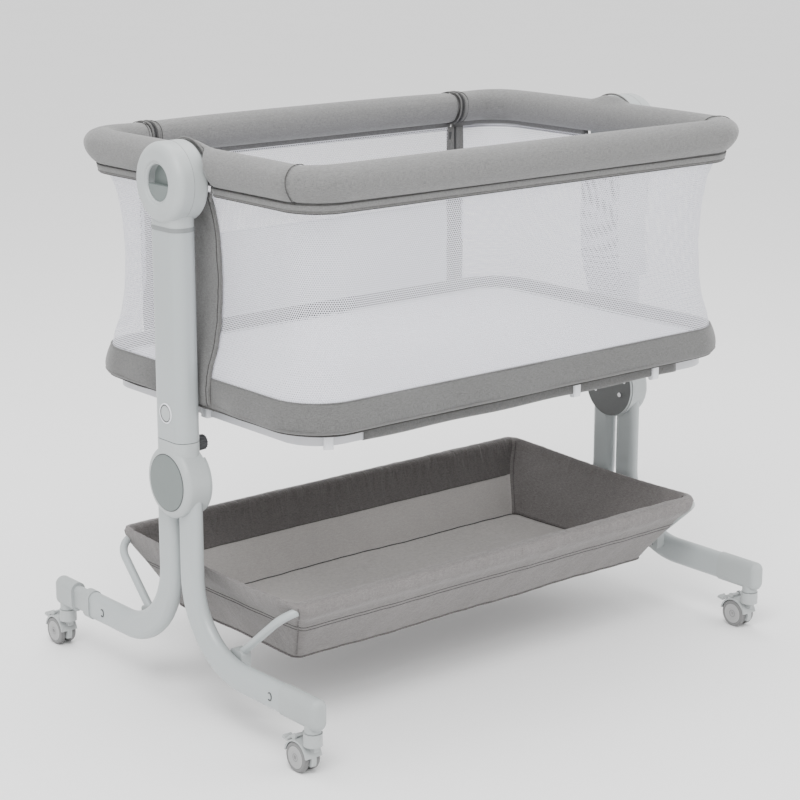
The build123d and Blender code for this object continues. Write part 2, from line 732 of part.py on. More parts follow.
# ---------------------------------------------------------------- mesh walls
def wall_ring(row):
    """Front or back stretch of the mesh wall with its rounded corners."""
    keep_y = WALL_W - WALL_BEND_R + 1
    with BuildPart() as wall:
        with BuildSketch(xy(WALL_BOTTOM_Z)):
            RectangleRounded(2 * WALL_L, 2 * WALL_W, WALL_BEND_R)
            inner = (2 * (WALL_L - WALL_T), 2 * (WALL_W - WALL_T))
            RectangleRounded(*inner, WALL_BEND_R - WALL_T, mode=Mode.SUBTRACT)
            with Locations((0, row * (keep_y + WALL_BEND_R))):
                Rectangle(2 * WALL_L + 10, 2 * WALL_BEND_R, mode=Mode.INTERSECT)
            if row == BACK:
                Rectangle(2 * (ZIP_X + ZIP_GAP), 4 * WALL_W, mode=Mode.SUBTRACT)
        extrude(amount=WALL_TOP_Z - WALL_BOTTOM_Z)
    return wall.part


def end_wall(side):
    """Flat mesh wall at one end, beside the mast."""
    half = WALL_W - WALL_BEND_R
    with BuildPart() as wall:
        with BuildSketch(yz(side * (WALL_L - WALL_T))):
            with Locations((0, (WALL_TOP_Z + WALL_BOTTOM_Z) / 2)):
                Rectangle(2 * half, WALL_TOP_Z - WALL_BOTTOM_Z)
        extrude(amount=side * WALL_T)
    return wall.part


def drop_sheet(z_low, z_high):
    """Flat sheet of the drop side between two heights."""
    with BuildPart() as sheet:
        with BuildSketch(xz(WALL_W)):
            with Locations((0, (z_low + z_high) / 2)):
                Rectangle(2 * (ZIP_X - ZIP_GAP), z_high - z_low)
        extrude(amount=WALL_T)
    return sheet.part


def zip_tape(side):
    """Zip tape sewn over one edge of the drop side."""
    with BuildPart() as tape:
        with BuildSketch(xz(WALL_W + SKIN_GAP + ZIP_TAPE_T)):
            with Locations((side * (ZIP_X - ZIP_GAP - ZIP_TAPE_W / 2), ZIP_MID_Z)):
                Rectangle(ZIP_TAPE_W, WALL_TOP_Z - WALL_BOTTOM_Z)
        extrude(amount=ZIP_TAPE_T)
    return tape.part


def zip_slider(side):
    """Zip slider with its pull tab, at the closed end under the rail."""
    y_back = WALL_W + 2 * SKIN_GAP + ZIP_TAPE_T
    with BuildPart() as slider:
        with BuildSketch(xz(y_back + SLIDER_T)):
            with Locations((side * (ZIP_X - ZIP_GAP - 5), SLIDER_Z)):
                RectangleRounded(8, 12, 2)
            with Locations((side * (ZIP_X - ZIP_GAP - 5), SLIDER_Z - 15)):
                RectangleRounded(5, 22, 2)
        extrude(amount=SLIDER_T)
    return slider.part


# ---------------------------------------------------------------- base of the cradle
def base_ring(length, width, bend, thickness, z_low, z_high):
    """Level ring of rectangular section, such as the band or the tube below it."""
    with BuildPart() as ring:
        with BuildSketch(xy(z_low)):
            RectangleRounded(2 * length, 2 * width, bend)
            inner = (2 * (length - thickness), 2 * (width - thickness))
            RectangleRounded(*inner, bend - thickness, mode=Mode.SUBTRACT)
        extrude(amount=z_high - z_low)
    return ring.part


def base_board():
    """Stiff board under the mattress, on pads that stand on the ring tube."""
    length = BAND_L - BAND_T - 1
    width = BAND_W - BAND_T - 1
    with BuildPart() as board:
        with BuildSketch(xy(BAND_BOTTOM_Z + 0.5)):
            RectangleRounded(2 * length, 2 * width, BAND_BEND_R - BAND_T - 1)
        extrude(amount=BOARD_T)
        with BuildSketch(xy(RING_TOP_Z)):
            for row in (FRONT, BACK):
                pad_y = row * (BAND_W - RING_INSET - RING_WIDE / 2)
                with Locations(*[(pad_x, pad_y) for pad_x in PAD_X]):
                    Rectangle(24, RING_WIDE - 2)
        extrude(amount=BAND_BOTTOM_Z + 0.5 - RING_TOP_Z)
    return board.part


def mattress():
    """Thin mattress inside the band."""
    length = BAND_L - BAND_T - 3
    width = BAND_W - BAND_T - 3
    with BuildPart() as pad:
        with BuildSketch(xy(BAND_BOTTOM_Z + 0.5 + BOARD_T + SKIN_GAP)):
            RectangleRounded(2 * length, 2 * width, BAND_BEND_R - BAND_T - 3)
        extrude(amount=MATTRESS_T)
        fillet(pad.faces().sort_by(Axis.Z)[-1].edges(), 4)
    return pad.part


# ---------------------------------------------------------------- basket
def basket_loft(inset, z_low, z_high):
    """Tapered block of the basket, inset from its outer faces, between two heights."""
    def section(z):
        share = (z - BASKET_FLOOR_Z) / (BASKET_RIM_Z - BASKET_FLOOR_Z)
        length = BASKET_FLOOR_L + share * (BASKET_RIM_L - BASKET_FLOOR_L) - inset
        width = BASKET_FLOOR_W + share * (BASKET_RIM_W - BASKET_FLOOR_W) - inset
        return 2 * length, 2 * width

    with BuildPart() as block:
        for z in (z_low, z_high):
            with BuildSketch(xy(z)):
                RectangleRounded(*section(z), BASKET_CORNER_R)
        loft()
    return block.part


def basket():
    """Open cloth basket with a hem sleeve along the front and the back."""
    with BuildPart() as body:
        add(basket_loft(0, BASKET_FLOOR_Z, BASKET_RIM_Z))
        with BuildSketch(yz(-HEM_HALF)):
            with Locations((-BASKET_TUBE_Y, BASKET_TUBE_Z), (BASKET_TUBE_Y, BASKET_TUBE_Z)):
                Circle(BASKET_TUBE_R + HEM_T)
        extrude(amount=2 * HEM_HALF)
        add(basket_loft(BASKET_T, BASKET_FLOOR_Z + BASKET_T, BASKET_RIM_Z + 20), mode=Mode.SUBTRACT)
        with BuildSketch(yz(-HEM_HALF - 40)):
            with Locations((-BASKET_TUBE_Y, BASKET_TUBE_Z), (BASKET_TUBE_Y, BASKET_TUBE_Z)):
                Circle(BASKET_TUBE_R + SKIN_GAP)
        extrude(amount=2 * (HEM_HALF + 40), mode=Mode.SUBTRACT)
    return body.part


def basket_tube(row):
    """Round support tube: down from the hem at both ends to the brackets on the legs."""
    foot = (BRACKET_TUBE_X, row * BRACKET_Y, BRACKET_Z)
    corner = (BASKET_TUBE_CORNER_X, row * BASKET_TUBE_Y, BASKET_TUBE_Z)
    points = [(-foot[0], foot[1], foot[2]), (-corner[0], corner[1], corner[2]), corner, foot]
    with BuildPart() as tube:
        with BuildLine() as path:
            FilletPolyline(*points, radius=BASKET_TUBE_BEND_R)
        with BuildSketch(Plane(origin=path.line @ 0, z_dir=path.line % 0)):
            Circle(BASKET_TUBE_R)
            Circle(BASKET_TUBE_R - 1.2, mode=Mode.SUBTRACT)
        sweep()
    return tube.part


def bracket_screw(row):
    """Where the screw of a bracket goes in, in Y and Z."""
    return row * BRACKET_Y, BRACKET_Z - BRACKET_SCREW_DROP


def basket_bracket(side, row):
    """Plastic bracket on the inboard face of a leg that holds a basket tube's end."""
    x_leg = side * (END_X - LEG_WIDE / 2)
    foot = Vector(side * BRACKET_TUBE_X, row * BRACKET_Y, BRACKET_Z)
    corner = Vector(side * BASKET_TUBE_CORNER_X, row * BASKET_TUBE_Y, BASKET_TUBE_Z)
    along = (corner - foot).normalized()
    with BuildPart() as bracket:
        with BuildSketch(yz(x_leg)):
            with Locations((row * BRACKET_Y, BRACKET_Z - BRACKET_DROP)):
                RectangleRounded(26, 28, 6)
            with Locations(bracket_screw(row)):
                Circle(SCREW_R, mode=Mode.SUBTRACT)
        extrude(amount=-side * BRACKET_T)
        with BuildSketch(Plane(origin=foot - along * 0.1, z_dir=along)):
            Circle(BASKET_TUBE_R + 0.05)
        extrude(amount=40, mode=Mode.SUBTRACT)
    return bracket.part


# ---------------------------------------------------------------- write every node
def write_stand():
    """Hubs, inner tubes, legs, feet, basket and its tubes."""
    sides = (LEFT, RIGHT)
    corners = [(side, row) for side in sides for row in (FRONT, BACK)]
    group([lower_hub_shell(side) for side in sides], "lower_hub_shells")
    group([lower_hub_plate(side) for side in sides], "lower_hub_plates")
    group([lower_hub_cap(side) for side in sides], "lower_hub_caps")
    group([inner_tube(side) for side in sides], "inner_tubes")
    screws = []
    for side in sides:
        x_plate = side * (END_X - HUB_LOW_T / 2)
        for y, z in PLATE_SCREWS:
            screws.append(screw(x_plate, y, z, side, 3.6, SCREW_R, HUB_PLATE_T))
    for side, row in corners:
        x_face = side * (END_X - LEG_WIDE / 2 - BRACKET_T)
        y, z = bracket_screw(row)
        screws.append(screw(x_face, y, z, side, 3.2, SCREW_R, BRACKET_T))
    group(screws, "stand_screws")
    for side, row in corners:
        save(leg(side, row), f"leg_{ROW_NAMES[row]}_{SIDE_NAMES[side]}")
    plug = (LEG_HIGH - 2 * LEG_WALL - 0.4, LEG_WIDE - 2 * LEG_WALL - 0.4)
    front_caps = [end_cap(side, FRONT, FRONT_TUBE_END_Y, FRONT_CASTOR_Y, plug) for side in sides]
    group(front_caps, "front_foot_caps")
    group([back_collar(side) for side in sides], "back_foot_collars")
    group([basket_tube(row) for row in (FRONT, BACK)], "basket_tubes")
    group([basket_bracket(side, row) for side, row in corners], "basket_brackets")
    save(basket(), "basket")


def write_ends():
    """Masts, upper hubs, controls, end walls and foot extensions of both ends."""
    for side in (LEFT, RIGHT):
        hand = SIDE_NAMES[side]
        save(mast_tube(side), f"mast_tube_{hand}")
        save(neck_ring(side), f"neck_ring_{hand}")
        save(upper_hub_outer(side), f"upper_hub_outer_{hand}")
        save(upper_hub_inner(side), f"upper_hub_inner_{hand}")
        save(hub_grip(side), f"hub_grip_{hand}")
        save(height_button(side), f"height_button_{hand}")
        save(thumb_screw(side), f"thumb_screw_{hand}")
        save(end_wall(side), f"end_wall_{hand}")
        plug = (EXT_HIGH - 2 * EXT_WALL - 0.4, EXT_WIDE - 2 * EXT_WALL - 0.4)
        cap = end_cap(side, BACK, BACK_CAP_START_Y, BACK_CASTOR_Y, plug)
        group([extension_tube(side), cap], f"foot_extension_{hand}")


def write_castors():
    """Four castors: fork, wheelset and brake pedal."""
    for side in (LEFT, RIGHT):
        for row, stem_y in ((FRONT, -FRONT_CASTOR_Y), (BACK, BACK_CASTOR_Y)):
            where = f"{ROW_NAMES[row]}_{SIDE_NAMES[side]}"
            save(castor_fork(side * END_X, stem_y), f"castor_fork_{where}")
            group(castor_wheelset(side * END_X, stem_y), f"castor_wheels_{where}")
            save(castor_pedal(side * END_X, stem_y), f"castor_pedal_{where}")


def write_cradle():
    """Rail, walls, drop side and base."""
    save(rail_tube_fixed(), "rail_tube")
    save(rail_cover_straight(-RAIL_W, COVER_SEAM_X - 1), "rail_cover_front")
    for side in (LEFT, RIGHT):
        halves = [rail_cover_corner(side, row) for row in (FRONT, BACK)]
        group(halves, f"rail_cover_{SIDE_NAMES[side]}")
    group([wall_ring(row) for row in (FRONT, BACK)], "mesh_walls")
    save(drop_rail_tube(), "drop_rail_tube")
    save(rail_cover_straight(RAIL_W, ZIP_X - ZIP_GAP - 0.5), "drop_rail_cover")
    save(drop_sheet(PANEL_TOP_Z + 0.5, WALL_TOP_Z), "drop_mesh")
    save(drop_sheet(WALL_BOTTOM_Z, PANEL_TOP_Z), "drop_panel")
    group([zip_tape(side) for side in (LEFT, RIGHT)], "zip_tapes")
    for side in (LEFT, RIGHT):
        save(zip_slider(side), f"zip_slider_{SIDE_NAMES[side]}")
    band = base_ring(BAND_L, BAND_W, BAND_BEND_R, BAND_T, BAND_BOTTOM_Z, BAND_TOP_Z)
    save(band, "base_band")
    length, width = BAND_L - RING_INSET, BAND_W - RING_INSET
    bend = BAND_BEND_R - RING_INSET
    tube = base_ring(length, width, bend, RING_WIDE, RING_TOP_Z - RING_HIGH, RING_TOP_Z)
    save(tube, "base_ring_tube")
    save(base_board(), "base_board")
    save(mattress(), "mattress")


write_stand()
write_ends()
write_castors()
write_cradle()
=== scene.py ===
"""Looks of a bassinet on its stand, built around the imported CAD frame. Metres, +Z up."""

import math

import bpy
import numpy as np
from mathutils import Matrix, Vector


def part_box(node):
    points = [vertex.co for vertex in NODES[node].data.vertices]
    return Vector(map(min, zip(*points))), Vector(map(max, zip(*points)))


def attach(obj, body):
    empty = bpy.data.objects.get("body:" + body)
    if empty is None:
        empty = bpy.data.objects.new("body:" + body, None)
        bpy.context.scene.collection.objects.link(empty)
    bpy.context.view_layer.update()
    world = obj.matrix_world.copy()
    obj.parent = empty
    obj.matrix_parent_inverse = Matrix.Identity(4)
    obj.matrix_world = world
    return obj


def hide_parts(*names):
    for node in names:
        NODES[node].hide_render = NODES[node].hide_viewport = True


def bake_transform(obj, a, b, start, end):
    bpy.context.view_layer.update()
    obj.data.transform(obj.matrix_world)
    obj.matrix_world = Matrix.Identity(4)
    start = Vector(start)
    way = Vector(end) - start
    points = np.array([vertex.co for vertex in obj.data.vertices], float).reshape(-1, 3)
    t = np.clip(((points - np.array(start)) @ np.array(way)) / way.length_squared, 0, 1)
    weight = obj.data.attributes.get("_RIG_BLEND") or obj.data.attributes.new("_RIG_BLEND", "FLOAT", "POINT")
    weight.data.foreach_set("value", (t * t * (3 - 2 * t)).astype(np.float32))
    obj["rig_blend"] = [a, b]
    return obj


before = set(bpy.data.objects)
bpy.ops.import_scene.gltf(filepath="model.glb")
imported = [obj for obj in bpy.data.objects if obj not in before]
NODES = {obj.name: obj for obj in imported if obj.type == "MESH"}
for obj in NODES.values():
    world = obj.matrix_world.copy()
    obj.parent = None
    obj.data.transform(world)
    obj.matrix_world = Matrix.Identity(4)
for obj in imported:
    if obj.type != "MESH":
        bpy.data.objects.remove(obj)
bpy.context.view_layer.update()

MM = 0.001
WHEEL_R = 0.0215  # metres
MID_Y = -29.0  # middle of the cradle, from the row's origin, in mm
SIDES = {"left": -1, "right": 1}
HUB_Z, HUB_R, HUB_INNER_X = 755.0, 55.0, 406.0
CAP_Z, BUTTON_Z, FOOT_Z = 338.0, 437.0, 88.0
MESH_TOP, MESH_BOTTOM = 744.0, 487.0
PANEL_TOP, PANEL_BOTTOM = 622.0, 489.5


def to_row(points):
    """Millimetres about the cradle's middle to metres in the row frame."""
    return (np.asarray(points, float) + (0.0, MID_Y, 0.0)) * MM


# ---------------------------------------------------------------- shaders
class Shader:
    """A Principled material with helpers that add procedural detail."""

    def __init__(self, name, **sockets):
        self.mat = bpy.data.materials.new(name)
        self.mat.use_nodes = True
        self.nodes, self.links = self.mat.node_tree.nodes, self.mat.node_tree.links
        self.bsdf = self.nodes["Principled BSDF"]
        for key, value in sockets.items():
            self.bsdf.inputs[key.replace("_", " ")].default_value = value
        self.coord = self.nodes.new("ShaderNodeTexCoord")
        self.last_bump = None

    def put(self, socket, value):
        if hasattr(value, "is_output"):
            self.links.new(value, socket)
        else:
            socket.default_value = value

    def math(self, op, a, b=0.0, c=0.0):
        n = self.nodes.new("ShaderNodeMath")
        n.operation = op
        for i, v in enumerate((a, b, c)):
            if v is not None:
                self.put(n.inputs[i], v)
        return n.outputs[0]

    def vmath(self, op, a, b=None, scale=None):
        n = self.nodes.new("ShaderNodeVectorMath")
        n.operation = op
        self.put(n.inputs[0], a)
        if b is not None:
            self.put(n.inputs[1], b)
        if scale is not None:
            self.put(n.inputs["Scale"], scale)
        return n.outputs["Value"] if op in ("LENGTH", "DISTANCE") else n.outputs[0]

    def split(self, vector):
        n = self.nodes.new("ShaderNodeSeparateXYZ")
        self.put(n.inputs[0], vector)
        return n.outputs

    def noise(self, scale, detail=3.0, rough=0.5, stretch=(1, 1, 1), distortion=0.0):
        n = self.nodes.new("ShaderNodeTexNoise")
        source = self.coord.outputs["Object"]
        if stretch != (1, 1, 1):
            source = self.vmath("MULTIPLY", source, stretch)
        self.links.new(source, n.inputs["Vector"])
        n.inputs["Scale"].default_value = scale
        n.inputs["Detail"].default_value = detail
        n.inputs["Roughness"].default_value = rough
        n.inputs["Distortion"].default_value = distortion
        return n.outputs["Fac"]

    def ramp(self, value, stops):
        n = self.nodes.new("ShaderNodeValToRGB")
        self.put(n.inputs[0], value)
        ramp = n.color_ramp
        while len(ramp.elements) < len(stops):
            ramp.elements.new(0.5)
        for e, (at, color) in zip(ramp.elements, stops):
            e.position = at
            e.color = color if len(color) == 4 else (*color, 1.0)
        return n.outputs["Color"]

    def mix(self, fac, a, b, mode="MIX"):
        n = self.nodes.new("ShaderNodeMix")
        n.data_type, n.blend_type = "RGBA", mode
        self.put(n.inputs["Factor"], fac)
        self.put(n.inputs["A"], a)
        self.put(n.inputs["B"], b)
        return n.outputs["Result"]

    def bump(self, height, distance, strength=1.0):
        n = self.nodes.new("ShaderNodeBump")
        n.inputs["Distance"].default_value = distance
        n.inputs["Strength"].default_value = strength
        self.put(n.inputs["Height"], height)
        if self.last_bump is not None:
            self.links.new(self.last_bump, n.inputs["Normal"])
        self.last_bump = n.outputs["Normal"]
        self.links.new(self.last_bump, self.bsdf.inputs["Normal"])

    def color(self, value):
        self.put(self.bsdf.inputs["Base Color"], value)

    def rough(self, value):
        self.put(self.bsdf.inputs["Roughness"], value)

    def weave(self, pitch):
        """Plain weave from the surface's own position, on all sides: 0 in a gap, 1 on a thread."""
        k = math.pi / pitch
        wave = self.vmath("SINE", self.vmath("SCALE", self.coord.outputs["Object"], scale=k))
        normal = self.coord.outputs["Normal"]
        weight = self.split(self.vmath("MULTIPLY", normal, normal))
        x, y, z = self.split(wave)[:3]
        faces = [(x, y, weight[2]), (y, z, weight[0]), (x, z, weight[1])]
        total = 0.0
        for a, b, w in faces:
            total = self.math("MULTIPLY_ADD", self.math("MULTIPLY", a, b), w, total)
        return self.math("MULTIPLY_ADD", total, 0.5, 0.5)


def grey(value, tint=(1.0, 1.0, 1.0)):
    return tuple(value * t for t in tint)


def moulded_shader(name, color, rough=0.42, grain=0.00004, tone=0.05):
    """Moulded plastic: fine grain, faint flow marks, scuffed to a slightly uneven gloss."""
    s = Shader(name, Roughness=rough, Specular_IOR_Level=0.45)
    cloud = s.noise(9.0, 4.0)
    dark = tuple(c * (1 - tone) for c in color)
    light = tuple(min(1.0, c * (1 + tone)) for c in color)
    base = s.ramp(cloud, [(0.3, dark), (0.7, light)])
    speck = s.ramp(s.noise(1400.0, 1.0), [(0.28, (0.86, 0.86, 0.86)), (0.4, (1, 1, 1))])
    s.color(s.mix(0.5, base, s.mix(1.0, base, speck, "MULTIPLY")))
    scuff = s.noise(60.0, 6.0, 0.65, (1, 1, 0.35))
    s.rough(s.math("MULTIPLY_ADD", scuff, 0.22, rough - 0.11))
    s.bump(s.noise(1800.0, 2.0), grain)
    return s


def moulded(*settings):
    return moulded_shader(*settings).mat


def powder_coat(name, color, rough=0.34):
    """Powder-coated steel tube: orange peel, slight tone drift and small rubbed marks."""
    s = Shader(name, Roughness=rough, Coat_Weight=0.18, Coat_Roughness=0.22)
    drift = s.noise(5.0, 3.0)
    worn, fresh = tuple(c * 0.96 for c in color), tuple(min(1, c * 1.03) for c in color)
    base = s.ramp(drift, [(0.3, worn), (0.7, fresh)])
    rubbed = s.noise(220.0, 5.0, 0.7, (1, 1, 0.15))
    marks = s.ramp(rubbed, [(0.68, grey(1.0)), (0.8, grey(0.88))])
    s.color(s.mix(1.0, base, marks, "MULTIPLY"))
    s.rough(s.math("MULTIPLY_ADD", s.noise(40.0, 5.0, 0.6), 0.16, rough - 0.08))
    s.bump(s.noise(420.0, 2.0), 0.00006)
    return s.mat


def cloth(name, dark, light, pitch=0.0008, sheen=0.25, crease=0.0006, fleck=1.0, folds=0.0):
    """Heather cloth: flecked yarns both ways, plain weave relief, soft creases."""
    s = Shader(name, Roughness=0.88, Sheen_Weight=sheen, Sheen_Roughness=0.5, Specular_IOR_Level=0.2)
    along = s.noise(1.0, 3.0, 0.65, (180.0, 180.0, 1500.0))
    across = s.noise(1.0, 3.0, 0.65, (1500.0, 1500.0, 160.0))
    mottle = s.math("MULTIPLY_ADD", across, 0.5, s.math("MULTIPLY", along, 0.5))
    wide = 0.16 / fleck
    yarn = s.ramp(mottle, [(0.5 - wide, dark), (0.5 + wide, light)])
    drift = s.ramp(s.noise(7.0, 4.0), [(0.3, grey(0.93)), (0.7, grey(1.0))])
    weave = s.weave(pitch)
    shade = s.ramp(weave, [(0.25, grey(0.84)), (0.6, grey(1.0))])
    s.color(s.mix(1.0, s.mix(1.0, yarn, drift, "MULTIPLY"), shade, "MULTIPLY"))
    s.bump(weave, 0.00012, 0.7)
    s.bump(s.noise(38.0, 5.0, 0.55, distortion=0.6), crease)
    if folds:
        s.bump(s.noise(1.0, 3.0, 0.5, (75.0, 75.0, 14.0), distortion=0.8), folds)
    return s.mat


def mesh_net(name, thread, shadow, pitch, hole):
    """Knitted mesh: a hexagonal field of round holes, laid out on the piece's UVs in metres."""
    s = Shader(name, Roughness=0.7, Sheen_Weight=0.15, Specular_IOR_Level=0.25)
    u, v = s.split(s.coord.outputs["UV"])[:2]
    tall = pitch * math.sqrt(3)
    nearest = None
    for shift in (0.0, 0.5):
        a = s.math("SUBTRACT", s.math("FRACT", s.math("MULTIPLY_ADD", u, 1 / pitch, shift)), 0.5)
        b = s.math("SUBTRACT", s.math("FRACT", s.math("MULTIPLY_ADD", v, 1 / tall, shift)), 0.5)
        b = s.math("MULTIPLY", b, math.sqrt(3))
        d = s.math("SQRT", s.math("MULTIPLY_ADD", a, a, s.math("MULTIPLY", b, b)))
        nearest = d if nearest is None else s.math("MINIMUM", nearest, d)
    solid = s.ramp(nearest, [(hole - 0.02, grey(0.0)), (hole + 0.02, grey(1.0))])
    s.put(s.bsdf.inputs["Alpha"], solid)
    s.color(s.ramp(nearest, [(hole, shadow), (hole + 0.14, thread)]))
    s.bump(nearest, 0.0005, 0.8)
    return s.mat


def metal_zip(name, color):
    """Zip coil: rows of small teeth, with painted shade darkening the gaps between them."""
    s = Shader(name, Roughness=0.45, Specular_IOR_Level=0.4)
    y, z = s.split(s.coord.outputs["Object"])[1:3]
    teeth = s.math("SINE", s.math("MULTIPLY", s.math("ADD", z, y), math.pi / 0.0009))
    height = s.math("MULTIPLY_ADD", teeth, 0.5, 0.5)
    s.color(s.ramp(height, [(0.2, grey(0.4 * color[0])), (0.8, color)]))
    s.bump(teeth, 0.0004)
    return s.mat


def castor_tyre(name, centre):
    """Castor wheel: dark tread, pale disc with rings, about its own axle."""
    s = Shader(name, Roughness=0.5)
    place = s.vmath("SUBTRACT", s.coord.outputs["Object"], centre)
    flat = s.vmath("MULTIPLY", place, (0.0, 1.0, 1.0))
    radius = s.vmath("LENGTH", flat)
    tones = [(0.0, 0.2), (0.2, 0.33), (0.24, 0.12), (0.28, 0.31), (0.7, 0.34)]
    tones += [(0.74, 0.09), (0.78, 0.17), (1.0, 0.14)]
    share = s.math("MULTIPLY", radius, 1 / WHEEL_R)
    s.color(s.ramp(share, [(at, grey(tone)) for at, tone in tones]))
    s.bump(s.math("SINE", s.math("MULTIPLY", radius, 2200.0)), 0.0002, 0.5)
    s.bump(s.noise(900.0, 3.0), 0.00008)
    return s.mat


def two_tone_hub(name, shell, inside):
    """Hub shell whose finger recess, near the hub's axis, is a darker plastic."""
    s = moulded_shader(name, shell, 0.38)
    offset = s.vmath("SUBTRACT", s.coord.outputs["Object"], tuple(to_row((0.0, 0.0, HUB_Z))))
    from_axis = s.vmath("LENGTH", s.vmath("MULTIPLY", offset, (0.0, 1.0, 1.0)))
    within = s.ramp(s.math("MULTIPLY", from_axis, 10.0), [(0.262, grey(1.0)), (0.276, grey(0.0))])
    was = s.bsdf.inputs["Base Color"].links[0].from_socket
    s.color(s.mix(within, was, inside))
    return s.mat


def faced_plate(name, face, edge):
    """Plate with a dark face and an edge in the shell's colour."""
    s = Shader(name, Roughness=0.5)
    across = s.split(s.vmath("ABSOLUTE", s.coord.outputs["Normal"]))[0]
    grain = s.ramp(s.noise(700.0, 3.0), [(0.3, grey(0.9)), (0.7, grey(1.0))])
    s.color(s.mix(1.0, s.ramp(across, [(0.75, edge), (0.9, face)]), grain, "MULTIPLY"))
    s.bump(s.noise(1500.0, 2.0), 0.00006)
    return s.mat


FABRIC_DARK, FABRIC_LIGHT = (0.108, 0.108, 0.106), (0.235, 0.234, 0.231)
HUB_COLOR = (0.385, 0.408, 0.408)
M = {
    "hub": moulded("hub_plastic", HUB_COLOR, 0.38),
    "disc": moulded("hub_disc", (0.148, 0.171, 0.166), 0.45),
    "dark": moulded("dark_plastic", (0.055, 0.057, 0.06), 0.5, 0.00008),
    "plate": faced_plate("hub_plate", (0.11, 0.115, 0.115), (0.36, 0.385, 0.385)),
    "recess_hub": two_tone_hub("upper_hub_plastic", HUB_COLOR, (0.17, 0.197, 0.19, 1.0)),
    "groove": moulded("groove_plastic", (0.05, 0.052, 0.052), 0.6),
    "ring": moulded("ring_plastic", (0.20, 0.212, 0.212), 0.45),
    "foot": moulded("foot_plastic", (0.345, 0.367, 0.367), 0.42),
    "castor": moulded("castor_plastic", (0.37, 0.388, 0.388), 0.3),
    "paint": powder_coat("frame_paint", (0.36, 0.388, 0.392)),
    "ringtube": powder_coat("ring_tube_paint", (0.50, 0.505, 0.53)),
    "steel": powder_coat("inner_steel", (0.62, 0.63, 0.64), 0.25),
    "rail": cloth("rail_fabric", FABRIC_DARK, FABRIC_LIGHT),
    "band": cloth("band_cloth", (0.078, 0.078, 0.0765), (0.168, 0.167, 0.165)),
    "trim": cloth("trim_fabric", (0.072, 0.071, 0.069), (0.17, 0.168, 0.164), 0.0007, 0.2, 0.0003),
    "thread": cloth(
        "seam_thread", (0.035, 0.034, 0.033), (0.09, 0.088, 0.086), 0.0005, 0.1, 0.0001
    ),
    "tape": cloth("zip_tape", (0.03, 0.03, 0.03), (0.085, 0.084, 0.083), 0.0006, 0.15, 0.0002),
    "net": mesh_net("mesh_fabric", (0.86, 0.86, 0.92), (0.30, 0.30, 0.36), 0.0033, 0.33),
    "net_fine": mesh_net("mesh_drop", (0.78, 0.78, 0.82), (0.24, 0.24, 0.28), 0.0034, 0.33),
    "panel": cloth(
        "panel_fabric", (0.58, 0.59, 0.62), (0.74, 0.75, 0.78), 0.0007, 0.2, 0.0006, 0.7
    ),
    "pad": cloth(
        "mattress_fabric", (0.76, 0.765, 0.83), (0.87, 0.875, 0.94), 0.0008, 0.25, 0.0009, 0.6
    ),
    "basket": cloth(
        "basket_fabric", (0.118, 0.110, 0.107), (0.245, 0.231, 0.227), 0.0008, 0.2, 0.0012, folds=0.0012
    ),
    "basket_dark": cloth(
        "basket_hem", (0.072, 0.067, 0.0655), (0.155, 0.144, 0.141), 0.0008, 0.2, 0.0016, folds=0.0035
    ),
    # lighter cloth for the inside floor and lower back wall: partly the lining's own colour, partly painted
    # light, raised to offset the shade inside the basket
    "basket_lit_inside": cloth(
        "basket_lining_painted_light", (0.34, 0.322, 0.312), (0.50, 0.478, 0.465), 0.0008, 0.2, 0.0007
    ),
    "board": moulded("board_plastic", (0.42, 0.42, 0.41), 0.6),
    "clip": moulded("clip_plastic", (0.72, 0.73, 0.76), 0.3),
    "screw": powder_coat("screw_steel", (0.45, 0.45, 0.46), 0.25),
    "zip": metal_zip("zip_metal", (0.07, 0.07, 0.072)),
}
M["screw"].node_tree.nodes["Principled BSDF"].inputs["Metallic"].default_value = 0.9
M["steel"].node_tree.nodes["Principled BSDF"].inputs["Metallic"].default_value = 0.7


def paint_node(name, mat):
    mats = NODES[name].data.materials
    mats.clear()
    mats.append(mat)


# ---------------------------------------------------------------- mesh helpers
def add_mesh(name, points, faces, mat, uvs=None):
    mesh = bpy.data.meshes.new(name)
    mesh.from_pydata([tuple(p) for p in to_row(points)], [], faces)
    mesh.update()
    mesh.polygons.foreach_set("use_smooth", [True] * len(mesh.polygons))
    if uvs is not None:
        layer = mesh.uv_layers.new(name="UVMap")
        index = np.zeros(len(mesh.loops), np.int32)
        mesh.loops.foreach_get("vertex_index", index)
        layer.data.foreach_set("uv", np.asarray(uvs, float)[index].astype(np.float32).ravel())
    ob = bpy.data.objects.new(name, mesh)
    bpy.context.scene.collection.objects.link(ob)
    if mat is not None:
        mesh.materials.append(mat)
    return ob


def grid_faces(nu, nv, close_u=False, close_v=False):
    faces = []
    for i in range(nu if close_u else nu - 1):
        for j in range(nv if close_v else nv - 1):
            a, b = i * nv, ((i + 1) % nu) * nv
            k = (j + 1) % nv
            faces.append((a + j, b + j, b + k, a + k))
    return faces


def grid(name, points, mat, close_u=False, close_v=False, caps=False, uvs=None):
    """Surface through a (rows, columns, 3) array of points."""
    nu, nv = points.shape[:2]
    faces = grid_faces(nu, nv, close_u, close_v)
    if caps:
        faces.append(tuple(range(nv)))
        faces.append(tuple((nu - 1) * nv + j for j in reversed(range(nv))))
    flat = None if uvs is None else uvs.reshape(-1, 2)
    return add_mesh(name, points.reshape(-1, 3), faces, mat, flat)


